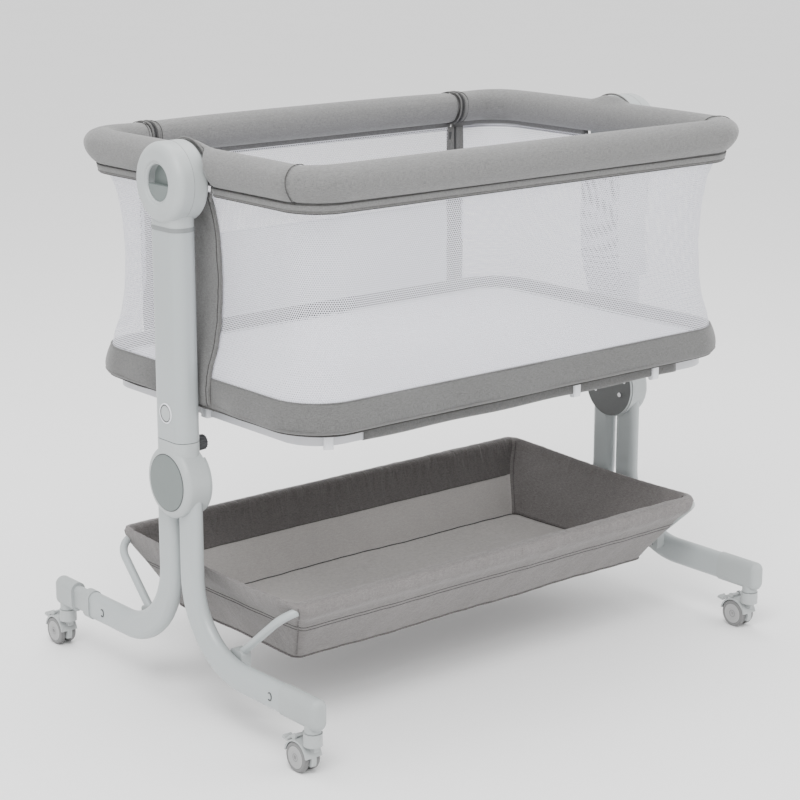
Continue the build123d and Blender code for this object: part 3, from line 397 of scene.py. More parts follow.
def fillet_path(corners, radius, step, closed=False):
    """Level path with rounded corners: points, outward normals and distances along it."""
    corners = [np.array(c, float) for c in corners]
    pts = []
    count = len(corners)
    for i, c in enumerate(corners):
        if not closed and i in (0, count - 1):
            pts.append(c)
            continue
        before, after = corners[i - 1], corners[(i + 1) % count]
        a, b = (before - c) / np.linalg.norm(before - c), (after - c) / np.linalg.norm(after - c)
        start, end = c + a * radius, c + b * radius
        centre = start + b * radius
        turns = max(2, int(radius * math.pi / 2 / step))
        for k in range(turns + 1):
            t = k / turns * math.pi / 2
            pts.append(centre - b * radius * math.cos(t) - a * radius * math.sin(t))
    if closed:
        pts.append(pts[0])
    dense = [pts[0]]
    for p, q in zip(pts, pts[1:]):
        n = max(1, int(np.linalg.norm(q - p) / step))
        dense += [p + (q - p) * k / n for k in range(1, n + 1)]
    if closed:
        dense = dense[:-1]
    p = np.array(dense)
    ahead = np.roll(p, -1, 0) - np.roll(p, 1, 0)
    if not closed:
        ahead[0], ahead[-1] = p[1] - p[0], p[-1] - p[-2]
    ahead /= np.linalg.norm(ahead, axis=1)[:, None]
    normal = np.stack([ahead[:, 1], -ahead[:, 0]], 1)
    run = np.concatenate([[0], np.cumsum(np.linalg.norm(np.diff(p, axis=0), axis=1))])
    return p, normal, run


def rounded(length, width, radius, step=8.0):
    """Closed rounded rectangle of half length and half width, anticlockwise from front left."""
    corners = [(-length, -width), (length, -width), (length, width), (-length, width)]
    return fillet_path(corners, radius, step, closed=True)


def catmull(a, b, c, d, f):
    """Catmull-Rom curve from b to c, the share f of the way along."""
    second, third = 2 * a - 5 * b + 4 * c - d, 3 * b - a - 3 * c + d
    return 0.5 * (2 * b + (c - a) * f + second * f**2 + third * f**3)


def smooth_loop(points, n):
    """Closed curve through the points, resampled to n."""
    p = np.array(points, float)
    m = len(p)
    t = np.arange(n) / n * m
    i = t.astype(int)
    f = (t - i)[:, None]
    return catmull(*(p[(i + k) % m] for k in (-1, 0, 1, 2)), f)


def sweep(name, path, section, z, mat, closed=False, taper=0.0):
    """Closed section of (outward, up) offsets carried along a level path."""
    p, normal, run = path
    centre = section.mean(0)
    rows = []
    total = run[-1]
    for i in range(len(p)):
        s = section
        if taper and not closed:
            edge = min(run[i], total - run[i])
            s = centre + (section - centre) * (1 - taper * max(0.0, 1 - edge / 6.0) ** 2)
        xy = p[i] + normal[i] * s[:, :1]
        rows.append(np.column_stack([xy, z + s[:, 1]]))
    return grid(name, np.array(rows), mat, closed, True, not closed)


def tube(name, points, radius, mat, closed=False, sides=8):
    """Round cord through 3-D points, for seams, piping and stitches."""
    p = np.asarray(points, float)
    ahead = np.roll(p, -1, 0) - np.roll(p, 1, 0)
    if not closed:
        ahead[0], ahead[-1] = p[1] - p[0], p[-1] - p[-2]
    ahead /= np.linalg.norm(ahead, axis=1)[:, None]
    up = np.array([0.0, 0.0, 1.0])
    if abs(ahead[:, 2]).max() > 0.9:
        up = np.array([0.31, 0.95, 0.05])
    side = np.cross(ahead, up)
    side /= np.linalg.norm(side, axis=1)[:, None]
    rise = np.cross(side, ahead)
    rows = []
    for k in range(sides):
        a = 2 * math.pi * k / sides
        rows.append(p + radius * (side * math.cos(a) + rise * math.sin(a)))
    return grid(name, np.array(rows).transpose(1, 0, 2), mat, closed, True, not closed)


def smoothstep(x, a, b):
    t = np.clip((np.asarray(x, float) - a) / (b - a), 0, 1)
    return t * t * (3 - 2 * t)


def ripple(points, seed, scale, amount):
    """Smooth repeatable unevenness at each point, from a few sine waves."""
    r = np.random.default_rng(seed)
    out = np.zeros(len(points))
    for _ in range(7):
        k = r.normal(size=3) / scale
        out += np.sin(points @ k + r.uniform(0, 6.28)) * r.uniform(0.5, 1.0)
    return out * amount / 2.6


def finish_piece(ob, body, replaces=()):
    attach(ob, body)
    if replaces:
        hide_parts(*replaces)
    return ob


# ---------------------------------------------------------------- padded pieces, simulated
SIMULATED = []


def read(ob):
    co = np.zeros(len(ob.data.vertices) * 3)
    ob.data.vertices.foreach_get("co", co)
    return co.reshape(-1, 3)


def write(ob, co):
    ob.data.vertices.foreach_set("co", np.asarray(co, np.float32).ravel())
    ob.data.update()


def apply_modifiers(ob):
    graph = bpy.context.evaluated_depsgraph_get()
    made = bpy.data.meshes.new_from_object(ob.evaluated_get(graph))
    ob.modifiers.clear()
    ob.data = made
    made.polygons.foreach_set("use_smooth", [True] * len(made.polygons))


def soft(ob, voxel, pressure, cap, after=None):
    """Remesh a closed piece and queue it for the simulation."""
    m = ob.modifiers.new("remesh", "REMESH")
    m.mode, m.voxel_size = "VOXEL", voxel * MM
    apply_modifiers(ob)
    SIMULATED.append((ob, pressure, cap, after))


def simulate():
    """Inflate every queued piece together, keep each point near its start, and smooth once."""
    scene = bpy.context.scene
    rest = {}
    for ob, pressure, _, _ in SIMULATED:
        rest[ob.name] = read(ob)
        m = ob.modifiers.new("cloth", "CLOTH")
        s = m.settings
        s.quality, s.mass = 4, 0.25
        s.use_pressure, s.uniform_pressure_force = True, pressure
        s.tension_stiffness = s.compression_stiffness = 12.0
        s.shear_stiffness, s.bending_stiffness = 4.0, 0.4
        s.effector_weights.gravity = 0.0
        m.point_cache.frame_start, m.point_cache.frame_end = 1, 20
    for f in range(1, 21):
        scene.frame_set(f)
    for ob, _, _, _ in SIMULATED:
        apply_modifiers(ob)
    scene.frame_set(1)
    for ob, _, cap, after in SIMULATED:
        if ob.name in rest:
            move = read(ob) - rest[ob.name]
            far = np.linalg.norm(move, axis=1)[:, None]
            limit = cap * MM
            share = limit * np.tanh(far / limit) / np.maximum(far, 1e-9)
            write(ob, rest[ob.name] + move * share)
        if after is not None:
            after(ob)
        m = ob.modifiers.new("smooth", "SUBSURF")
        m.levels = m.render_levels = 1
        apply_modifiers(ob)


# ---------------------------------------------------------------- rail covers
RAIL_L, RAIL_W, RAIL_BEND, RAIL_Z = 396.0, 262.0, 50.0, 775.0
ZIP_X, ZIP_GAP = 298.0, 3.0
ROLL = smooth_loop(
    [
        (-5, 24.5), (7, 24.3), (18, 21), (25.5, 14), (28, 6), (26, -4), (20.5, -13), (14, -20),
        (8.5, -24), (1, -25), (-8, -24), (-16, -19.5), (-22, -12), (-25.5, -2), (-26, 8),
        (-22.5, 17), (-15, 22.5),
    ],
    44,
)


def clear_hub(ob):
    """Press the cover in where the hub stands against it, and lift it round the hub's top edge."""
    co = read(ob) / MM - (0.0, MID_Y, 0.0)
    side = np.sign(co[:, 0])
    out = np.abs(co[:, 0])
    y, z = co[:, 1], co[:, 2]
    far = np.hypot(y, z - HUB_Z)
    limit = HUB_INNER_X - 5.0 + 34.0 * smoothstep(far, HUB_R + 3.0, HUB_R + 10.0)
    out = np.minimum(out, limit)
    lift = 9.0 * (1 - smoothstep(np.abs(y), 8.0, 46.0))
    lift = lift * smoothstep(z, RAIL_Z, 797.0) * smoothstep(out, 380.0, 400.0)
    co[:, 0] = side * out
    co[:, 2] = z + lift
    write(ob, (co + (0.0, MID_Y, 0.0)) * MM)


def part_of(path, start, end):
    """The stretch of a path between two distances along it."""
    keep = (path[2] >= start) & (path[2] <= end)
    return path[0][keep], path[1][keep], path[2][keep] - path[2][keep][0]


BACK_EDGE = ZIP_X + ZIP_GAP
RAIL_U = fillet_path(
    [
        (-BACK_EDGE, RAIL_W),
        (-RAIL_L, RAIL_W),
        (-RAIL_L, -RAIL_W),
        (RAIL_L, -RAIL_W),
        (RAIL_L, RAIL_W),
        (BACK_EDGE, RAIL_W),
    ],
    RAIL_BEND,
    3.5,
)
TURN = RAIL_BEND * math.pi / 2
SEAM_AT = (RAIL_L - BACK_EDGE - RAIL_BEND) + TURN + (2 * RAIL_W - 2 * RAIL_BEND) + TURN * 0.22
U_LENGTH = RAIL_U[2][-1]
LAP = 5.0  # how far neighbouring covers run under their shared seam
half_drop = ZIP_X - ZIP_GAP - 0.5
DROP_LINE = fillet_path([(half_drop, RAIL_W), (-half_drop, RAIL_W)], RAIL_BEND, 6.0)


def rail_cover(name, path, body, replaces, after=None):
    ob = sweep(name, path, ROLL * (0.97, 0.97), RAIL_Z, M["rail"], taper=0.10)
    soft(ob, 5.0, 4.0, 4.0, after)
    finish_piece(ob, body, replaces)
    return ob


OTHER_SEAM = U_LENGTH - SEAM_AT
for tag, start, end, after in (
    ("left", 0, SEAM_AT + LAP, clear_hub),
    ("front", SEAM_AT - LAP, OTHER_SEAM + LAP, None),
    ("right", OTHER_SEAM - LAP, U_LENGTH, clear_hub),
):
    stretch = part_of(RAIL_U, start, end)
    rail_cover(f"rail_roll_{tag}", stretch, "rail", [f"rail_cover_{tag}"], after)
rail_cover("rail_roll_drop", DROP_LINE, "drop_side", ["drop_rail_cover"])

# ---------------------------------------------------------------- mattress
PAD_L, PAD_W, PAD_BEND = 390.0, 247.5, 58.0
PAD_BOTTOM, PAD_TOP = 453.2, 469.6


def mattress():
    """Pad with a crowned top, rounded edges and a piped border."""
    p, normal, _ = rounded(PAD_L, PAD_W, PAD_BEND, 10.0)
    levels = [(-60, PAD_BOTTOM), (-6, PAD_BOTTOM), (-1.5, PAD_BOTTOM + 2), (0, PAD_BOTTOM + 8)]
    levels += [(-1.5, PAD_TOP - 3), (-7, PAD_TOP - 0.4), (-30, PAD_TOP + 0.6)]
    levels += [(-80, PAD_TOP + 1.4), (-150, PAD_TOP + 1.8)]
    rows = []
    for inset, z in levels:
        ring = p + normal * max(inset, -40.0)
        if inset < -40:
            ring = ring * (1 - (abs(inset) - 40) / 260)
        rows.append(np.column_stack([ring, np.full(len(p), z)]))
    rows = np.array(rows)
    ob = grid("mattress_pad", rows, M["pad"], False, True, True)
    soft(ob, 7.0, 3.0, 3.0)
    finish_piece(ob, "base", ["mattress"])
    edge, _, _ = rounded(PAD_L - 4.0, PAD_W - 4.0, PAD_BEND - 4.0, 8.0)
    border = np.column_stack([edge, np.full(len(edge), PAD_TOP - 0.6)])
    piping = tube("mattress_piping", border, 1.5, M["panel"], True)
    finish_piece(piping, "base")


mattress()
simulate()

# ---------------------------------------------------------------- flange and seams of the rolls
FLANGE = smooth_loop(
    [(1.5, -22), (6.5, -23), (8.8, -26.5), (8.2, -31), (6.6, -33.6), (3.5, -33.6), (1.5, -29)], 20
)
UNDER_CORDS = [
    # name, offset outwards, height from the rail, radius, material
    ("seam", 9.0, -24.6, 0.8, "thread"),
    ("piping", 6.2, -34.4, 1.7, "trim"),
    ("hem", 4.6, -36.6, 1.1, "thread"),
]
Y_HUB = 57.5


def under_rail(corners, body, tag):
    path = fillet_path(corners, RAIL_BEND, 7.0)
    p, normal, _ = path
    wave = ripple(np.column_stack([p, p[:, 0]]), 3, 60.0, 0.5)
    flange = sweep(f"rail_flange_{tag}", path, FLANGE, RAIL_Z, M["rail"])
    finish_piece(flange, body)
    for label, out, down, r, mat in UNDER_CORDS:
        xy = p + normal * (out + wave[:, None] * 0.6)
        line = np.column_stack([xy, RAIL_Z + down + wave * 0.8])
        finish_piece(tube(f"rail_{label}_{tag}", line, r, M[mat]), body)


FRONT_U = [(-RAIL_L, -Y_HUB), (-RAIL_L, -RAIL_W), (RAIL_L, -RAIL_W), (RAIL_L, -Y_HUB)]
under_rail(FRONT_U, "rail", "front")
under_rail([(RAIL_L, Y_HUB), (RAIL_L, RAIL_W), (BACK_EDGE, RAIL_W)], "rail", "back_right")
under_rail([(-BACK_EDGE, RAIL_W), (-RAIL_L, RAIL_W), (-RAIL_L, Y_HUB)], "rail", "back_left")
under_rail([(half_drop, RAIL_W), (-half_drop, RAIL_W)], "drop_side", "drop")


def section_ring(name, x, y, normal, scale, radius, mat, body):
    """Cord laid round the roll's section at one place."""
    out, up = (ROLL * scale).T
    pts = np.column_stack([x + normal[0] * out, y + normal[1] * out, RAIL_Z + up])
    return finish_piece(tube(name, pts, radius, M[mat], True, 6), body)


ZIP_CORDS = [
    # name, distance from the zip's middle, size against the roll, radius, material, slot
    ("ring", 1.6, 1.0, 1.1, "zip", "zip_fabric"),
    ("fold", 11, 1.01, 0.6, "thread", "rail_fabric"),
    ("lip", 4.4, 1.01, 1.5, "trim", "rail_fabric"),
]
CUFF_R, CUFF_X = 56.5, HUB_INNER_X - 2.0
for hand, k in SIDES.items():
    at = np.argmin(np.abs(RAIL_U[2] - (SEAM_AT if k < 0 else U_LENGTH - SEAM_AT)))
    (x, y), outward = RAIL_U[0][at], RAIL_U[1][at]
    seam = f"rail_corner_seam_{hand}"
    section_ring(seam, x, y, outward, 1.0, 0.7, "thread", "rail")
    for tag, off, scale, r, mat, slot in ZIP_CORDS:
        for side, sign, body in (("rail", 1, "rail"), ("drop", -1, "drop_side")):
            name, x = f"zip_{tag}_{side}_{hand}", k * (ZIP_X + sign * off)
            section_ring(name, x, RAIL_W, (0, 1), scale, r, mat, body)
    angles = np.radians(np.linspace(-24, 204, 60))
    y, z = CUFF_R * np.cos(angles), HUB_Z + CUFF_R * np.sin(angles)
    arc = np.column_stack([np.full(60, k * CUFF_X), y, z])
    finish_piece(tube(f"hub_cuff_piping_{hand}", arc, 1.5, M["trim"]), "rail")


# ---------------------------------------------------------------- mesh walls
WALL_LEVELS = [
    # height, half length, half width, corner radius
    (MESH_TOP, 399.0, 265.5, 64.0),
    (736.0, 394.0, 262.0, 66.0),
    (715.0, 386.5, 257.5, 68.0),
    (674.0, 380.5, 254.5, 70.0),
    (618.0, 378.0, 253.0, 71.0),
    (562.0, 381.5, 253.8, 71.0),
    (528.0, 388.0, 256.0, 71.0),
    (505.0, 396.5, 258.8, 71.0),
    (MESH_BOTTOM, 401.5, 260.0, 72.0),
]


def level(z, column):
    zs = [w[0] for w in reversed(WALL_LEVELS)]
    return np.interp(z, zs, [w[column] for w in reversed(WALL_LEVELS)])


def wall_rows(x_zip, step=9.0):
    """Rows of wall points from the right zip round the front to the left zip, with UVs."""
    rows, uvs = [], []
    for z in np.linspace(MESH_TOP, MESH_BOTTOM, 30):
        length, width, bend = level(z, 1), level(z, 2), level(z, 3)
        left = [(-x_zip, width), (-length, width), (-length, -width)]
        right = [(length, -width), (length, width), (x_zip, width)]
        p, _, run = fillet_path(left + right, bend, step)
        even = np.linspace(0, run[-1], 330)
        q = np.column_stack([np.interp(even, run, p[:, 0]), np.interp(even, run, p[:, 1])])
        rows.append(np.column_stack([q, np.full(len(q), z)]))
        uvs.append(np.column_stack([even * MM - run[-1] * MM / 2, np.full(len(q), z * MM)]))
    return np.array(rows), np.array(uvs)


def shear_with_base(ob, free_edge=None):
    """Top follows the rail and bottom the base; a free edge stays with the rail."""
    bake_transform(ob, "rail", "base", start=(0, 0, 0.74), end=(0, 0, 0.49))
    if free_edge is None:
        return
    attribute = ob.data.attributes["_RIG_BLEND"]
    w = np.zeros(len(ob.data.vertices), np.float32)
    attribute.data.foreach_get("value", w)
    attribute.data.foreach_set("value", (w * free_edge(read(ob))).astype(np.float32))


def away_from_zip(co):
    """0 at the zips, 1 once round the back corners."""
    y = co[:, 1] / MM - MID_Y
    near = smoothstep(y, 150.0, 250.0) * (1 - smoothstep(np.abs(co[:, 0]) / MM, 305.0, 395.0))
    return 1 - near


def mesh_walls():
    rows, uvs = wall_rows(ZIP_X + ZIP_GAP + 15)
    ob = grid("mesh_wall", rows, M["net"], uvs=uvs)
    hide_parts("mesh_walls", "end_wall_left", "end_wall_right")
    shear_with_base(ob, away_from_zip)


mesh_walls()


STRIP_HALF, STRIP_TOP, STRIP_BOTTOM = 43.0, 742.0, 441.0
TUCK_Z, BAND_FACE = 452.0, 404.6
HUB_CLEAR_Z, HUB_CLEAR_X, MAST_CLEAR_X = 684.0, 401.3, 407.4
STRIP_CORDS = [
    # name, place across the strip, radius, material
    ("front", -43.5, 1.6, "trim"),
    ("back", 43.5, 1.6, "trim"),
    ("stitch_front", -36.5, 0.6, "thread"),
    ("stitch_back", 36.5, 0.6, "thread"),
]


def end_strip(hand, k):
    """Padded cloth strip down the middle of an end wall, from the rail over the base band."""
    across = np.linspace(-STRIP_HALF, STRIP_HALF, 26)
    rows = []
    for z in np.linspace(STRIP_TOP, STRIP_BOTTOM, 70):
        on_mesh = z > MESH_BOTTOM
        out = level(z, 1) + 3.2 if on_mesh else BAND_FACE + 1.6 * smoothstep(MESH_BOTTOM - z, 0, 20)
        if z < TUCK_Z:
            out -= (TUCK_Z - z) * 0.5
        flat = np.abs(across) / STRIP_HALF
        puff = (2.2 if on_mesh else 1.6) * (1 - flat**4)
        x = np.minimum(out + puff, HUB_CLEAR_X if z > HUB_CLEAR_Z else MAST_CLEAR_X)
        rows.append(np.column_stack([k * x, across + 0.6 * np.sin(z / 23.0), np.full(26, z)]))
    rows = np.array(rows)
    flat_points = rows.reshape(-1, 3)
    dents = np.abs(ripple(flat_points * (1, 1, 0.6), 11 + k, 11.0, 1.3))
    rows[:, :, 0] += -k * dents.reshape(rows.shape[:2])
    ob = grid(f"end_strip_{hand}", rows, M["rail"])
    m = ob.modifiers.new("thick", "SOLIDIFY")
    m.thickness, m.offset = 0.0012, 0.0
    apply_modifiers(ob)
    shear_with_base(ob)
    for tag, y, r, mat in STRIP_CORDS:
        column = np.argmin(np.abs(across - y))
        line = rows[:, column].copy()
        line[:, 1] = y
        line[:, 0] += k * 1.0
        limit = np.where(line[:, 2] > HUB_CLEAR_Z, HUB_CLEAR_X + 0.2, MAST_CLEAR_X + 0.2)
        line[:, 0] = k * np.minimum(np.abs(line[:, 0]), limit)
        edge = tube(f"end_strip_{tag}_{hand}", line, r, M[mat])
        shear_with_base(edge)


for hand, k in SIDES.items():
    end_strip(hand, k)


def blank_label():
    """Blank care label sewn inside the right end wall."""
    ys, zs = np.linspace(-104, -46, 12), np.linspace(716, 540, 30)
    rows = np.array([[(level(z, 1) - 3.0 - math.sin(y / 9.0), y, z) for y in ys] for z in zs])
    ob = grid("blank_label", rows, M["panel"])
    shear_with_base(ob)


blank_label()


# ---------------------------------------------------------------- drop side and zips
DROP_HALF, DROP_Y, DROP_BOW = 281.0, 256.0, 2.0


def drop_y(x, z):
    """Place of the drop side's cloth, which bows in between its edges."""
    middle = np.sin(np.clip((z - 489) / 256, 0, 1) * math.pi)
    return DROP_Y - DROP_BOW * middle * (1 - (x / DROP_HALF) ** 4)


def drop_sheet(name, z0, z1, mat, node, seed):
    gx, gz = np.meshgrid(np.linspace(-DROP_HALF, DROP_HALF, 60), np.linspace(z1, z0, 20))
    pts = np.stack([gx, drop_y(gx, gz), gz], 2)
    pts[:, :, 1] += ripple(pts.reshape(-1, 3), seed, 45.0, 0.5).reshape(gx.shape)
    uvs = np.stack([gx * MM, gz * MM], 2)
    ob = grid(name, pts, M[mat], uvs=uvs)
    finish_piece(ob, "drop_side", [node])


drop_sheet("drop_side_mesh", PANEL_TOP - 1, MESH_TOP, "net_fine", "drop_mesh", 1)
drop_sheet("drop_side_panel", PANEL_BOTTOM, PANEL_TOP, "panel", "drop_panel", 4)
hem_x = np.linspace(1 - DROP_HALF, DROP_HALF - 1, 60)
for tag, z in (("hem", PANEL_TOP - 0.5), ("bottom", PANEL_BOTTOM + 1)):
    line = np.column_stack([hem_x, drop_y(hem_x, z), np.full(60, z)])
    finish_piece(tube(f"drop_panel_{tag}", line, 1.5, M["panel"]), "drop_side")


def zip_column(hand, k):
    """Cloth strips each side of a zip, with its coils between them."""
    zs = np.linspace(MESH_TOP, PANEL_BOTTOM, 50)
    for tag, sign, body in (("rail", 1, "rail"), ("drop", -1, "drop_side")):
        inner, outer = ZIP_X + sign * 2.4, ZIP_X + sign * 18.0
        across = np.linspace(0, 1, 8)
        rows = []
        for z in zs:
            swell = 1.4 * np.sin(across * math.pi) ** 0.7
            x = k * (inner + (outer - inner) * across)
            y = 256.3 + swell + 0.4 * math.sin(z / 13.0 + k)
            rows.append(np.column_stack([x, y, np.full(8, z)]))
        ob = grid(f"zip_strip_{tag}_{hand}", np.array(rows), M["trim"])
        m = ob.modifiers.new("thick", "SOLIDIFY")
        m.thickness, m.offset = 0.0012, 0.0
        apply_modifiers(ob)
        finish_piece(ob, body)
        line = np.column_stack([np.full(50, k * (ZIP_X + sign * 1.2)), np.full(50, 256.6), zs])
        coil = tube(f"zip_coil_{tag}_{hand}", line, 1.25, M["zip"])
        stands_for = ["zip_tapes"] if tag == "drop" and hand == "left" else []
        finish_piece(coil, body, stands_for)


for hand, k in SIDES.items():
    zip_column(hand, k)


# ---------------------------------------------------------------- base band
BAND_L, BAND_W, BAND_BEND = 404.5, 262.0, 74.0
BAND_CORDS = [
    # name, offset outwards, height, radius, material
    ("top_seam", -1.0, 486.8, 0.9, "band"),
    ("hem_seam", 7.9, 451.4, 0.4, "trim"),
    ("edge", 1.2, 444.2, 1.3, "thread"),
]


def base_band():
    """Cloth band round the base, fuller near its lower edge and tucked under."""
    p, normal, _ = rounded(BAND_L, BAND_W, BAND_BEND, 6.0)
    outer = [(-9, 484), (-5, 487.2), (-0.8, 486.2), (2.2, 481), (5.4, 473), (8.2, 463), (8.6, 455)]
    under = [(6.4, 448.2), (0.5, 444.6), (-8, 443.6), (-14, 446), (-13, 456), (-11, 472)]
    profile = smooth_loop(outer + under, 40)
    pressed = (np.abs(p[:, 0]) > 390) * (1 - smoothstep(np.abs(p[:, 1]), 46, 115))
    rows = []
    for i in range(len(p)):
        off = profile[:, 0].copy()
        off = np.where(off > 0, off * (1 - 0.95 * pressed[i]), off)
        xy = p[i] + normal[i] * off[:, None]
        rows.append(np.column_stack([xy, profile[:, 1]]))
    rows = np.array(rows)
    flat_points = rows.reshape(-1, 3)
    uneven = ripple(flat_points, 21, 22.0, 0.7).reshape(rows.shape[:2])
    uneven *= (1 - pressed)[:, None]
    rows[:, :, 0] += uneven * normal[:, :1]
    rows[:, :, 1] += uneven * normal[:, 1:]
    ob = grid("base_band_cloth", rows, M["band"], True, True)
    finish_piece(ob, "base", ["base_band"])
    for tag, out, z, r, mat in BAND_CORDS:
        shift = out * (1 - 0.95 * pressed if out > 0 else np.ones(len(p)))
        wave = ripple(np.column_stack([p, p[:, 1]]), 5, 30.0, 0.8) * (1 - pressed)
        heights = np.full(len(p), z) + (wave if tag != "top_seam" else 0)
        line = np.column_stack([p + normal * shift[:, None], heights])
        finish_piece(tube(f"base_{tag}", line, r, M[mat], True), "base")


base_band()


SLEEVE_HALF, SLEEVE_Y, SLEEVE_Z = 300.0, 240.0, 433.0


def ring_sleeve(tag, sign):
    """Cloth sleeve that holds the band to the ring tube along one long side."""
    ring = [(-7, -8), (7, -8), (8.2, 0), (7.4, 8), (6.5, 16), (-6, 16), (-8.2, 0)]
    out, up = smooth_loop(ring, 18).T
    rows = []
    for x in np.linspace(-SLEEVE_HALF, SLEEVE_HALF, 70):
        sag = 0.7 * math.sin(x / 31.0) * (up < 0)
        rows.append(np.column_stack([np.full(18, x), sign * (SLEEVE_Y + out), SLEEVE_Z + up + sag]))
    sleeve = grid(f"ring_sleeve_{tag}", np.array(rows), M["band"], False, True, True)
    finish_piece(sleeve, "base")


for tag, sign in (("front", -1), ("back", 1)):
    ring_sleeve(tag, sign)


def rounded_box(name, centre, size, mat, bevel, body):
    """Small moulded block with rounded edges."""
    cx, cy, cz = centre
    hx, hy, hz = (s / 2 for s in size)
    ends = (-1, 1)
    pts = [(cx + a * hx, cy + b * hy, cz + c * hz) for a in ends for b in ends for c in ends]
    faces = [(0, 1, 3, 2), (4, 6, 7, 5), (0, 4, 5, 1), (2, 3, 7, 6), (0, 2, 6, 4), (1, 5, 7, 3)]
    ob = add_mesh(name, pts, faces, M[mat])
    m = ob.modifiers.new("bevel", "BEVEL")
    m.width, m.segments = bevel * MM, 3
    apply_modifiers(ob)
    return finish_piece(ob, body)


CLIP_SPOTS = [(-354, -240), (93, -246), (254, -246), (-254, 246), (0, 246), (254, 246)]
RING_PATH = rounded(388.5, 246.0, 60.0, 3.0)
CLIP_HALF, CLIP_Z = 8.5, 432.0
CLIP_SECTION = smooth_loop(
    [(-4, -11), (3, -11), (5, -8), (5, 8), (3, 11), (-4, 11), (-5.5, 0)], 20
)
for i, spot in enumerate(CLIP_SPOTS):
    middle = RING_PATH[2][np.argmin(np.hypot(*(RING_PATH[0] - spot).T))]
    stretch = part_of(RING_PATH, middle - CLIP_HALF, middle + CLIP_HALF)
    clip = sweep(f"base_clip_{i}", stretch, CLIP_SECTION, CLIP_Z, M["clip"])
    finish_piece(clip, "base")
for hand, k in SIDES.items():
    name, centre, size = f"ring_splice_{hand}", (k * 387.0, -12.0, 433), (16.5, 15, 18)
    rounded_box(name, centre, size, "clip", 1.5, "base")


# ---------------------------------------------------------------- basket
BASKET_REF_L, BASKET_REF_W, BASKET_BEND = 392.0, 210.0, 13.0
HEM_Z, FLOOR_Z = 157.0, 100.0
BASKET_OUT, BASKET_IN = 0, 1
BASKET_WALL = [
    # side, long side's half width, its height, end's half length, its height
    (BASKET_OUT, 120, 95.4, 300, 95.4),
    (BASKET_OUT, 144, 95.8, 339, 95.8),
    (BASKET_OUT, 150, 99.0, 344, 99.0),
    (BASKET_OUT, 163, 117, 352, 117),
    (BASKET_OUT, 178, 137, 362, 137),
    (BASKET_OUT, 190, 153, 370, 155),
    (BASKET_OUT, 202, 170, 378.5, 171),
    (BASKET_OUT, 213.5, 180, 384.5, 184),
    (BASKET_OUT, 218.5, 187, 388.5, 193),
    (BASKET_OUT, 219, 197, 391, 199),
    (BASKET_OUT, 215.5, 202.5, 392.2, 202.5),
    (BASKET_IN, 208.5, 204, 391.6, 204),
    (BASKET_IN, 202, 201.5, 390.2, 202.5),
    (BASKET_IN, 199, 195, 388.4, 198),
    (BASKET_IN, 197, 187, 385, 189),
    (BASKET_IN, 192, 174, 378, 174),
    (BASKET_IN, 184, 159, 370, 158),
    (BASKET_IN, 178, 150, 364.5, 148),
    (BASKET_IN, 166, 133, 355.5, 131),
    (BASKET_IN, 154, 114, 346.5, 113),
    (BASKET_IN, 146, 101.0, 340, 101.0),
    (BASKET_IN, 139, 98.4, 333, 98.4),
    (BASKET_IN, 90, 97.8, 230, 97.8),
    (BASKET_IN, 30, 98.0, 80, 98.0),
]


def spline(values, n):
    """Open Catmull-Rom through the rows, with n points between neighbours."""
    v = np.array(values, float)
    v = np.vstack([2 * v[0] - v[1], v, 2 * v[-1] - v[-2]])
    out = []
    for i in range(1, len(v) - 2):
        for f in np.arange(n) / n:
            out.append(catmull(*v[i - 1 : i + 3], f))
    out.append(v[-2])
    return np.array(out)


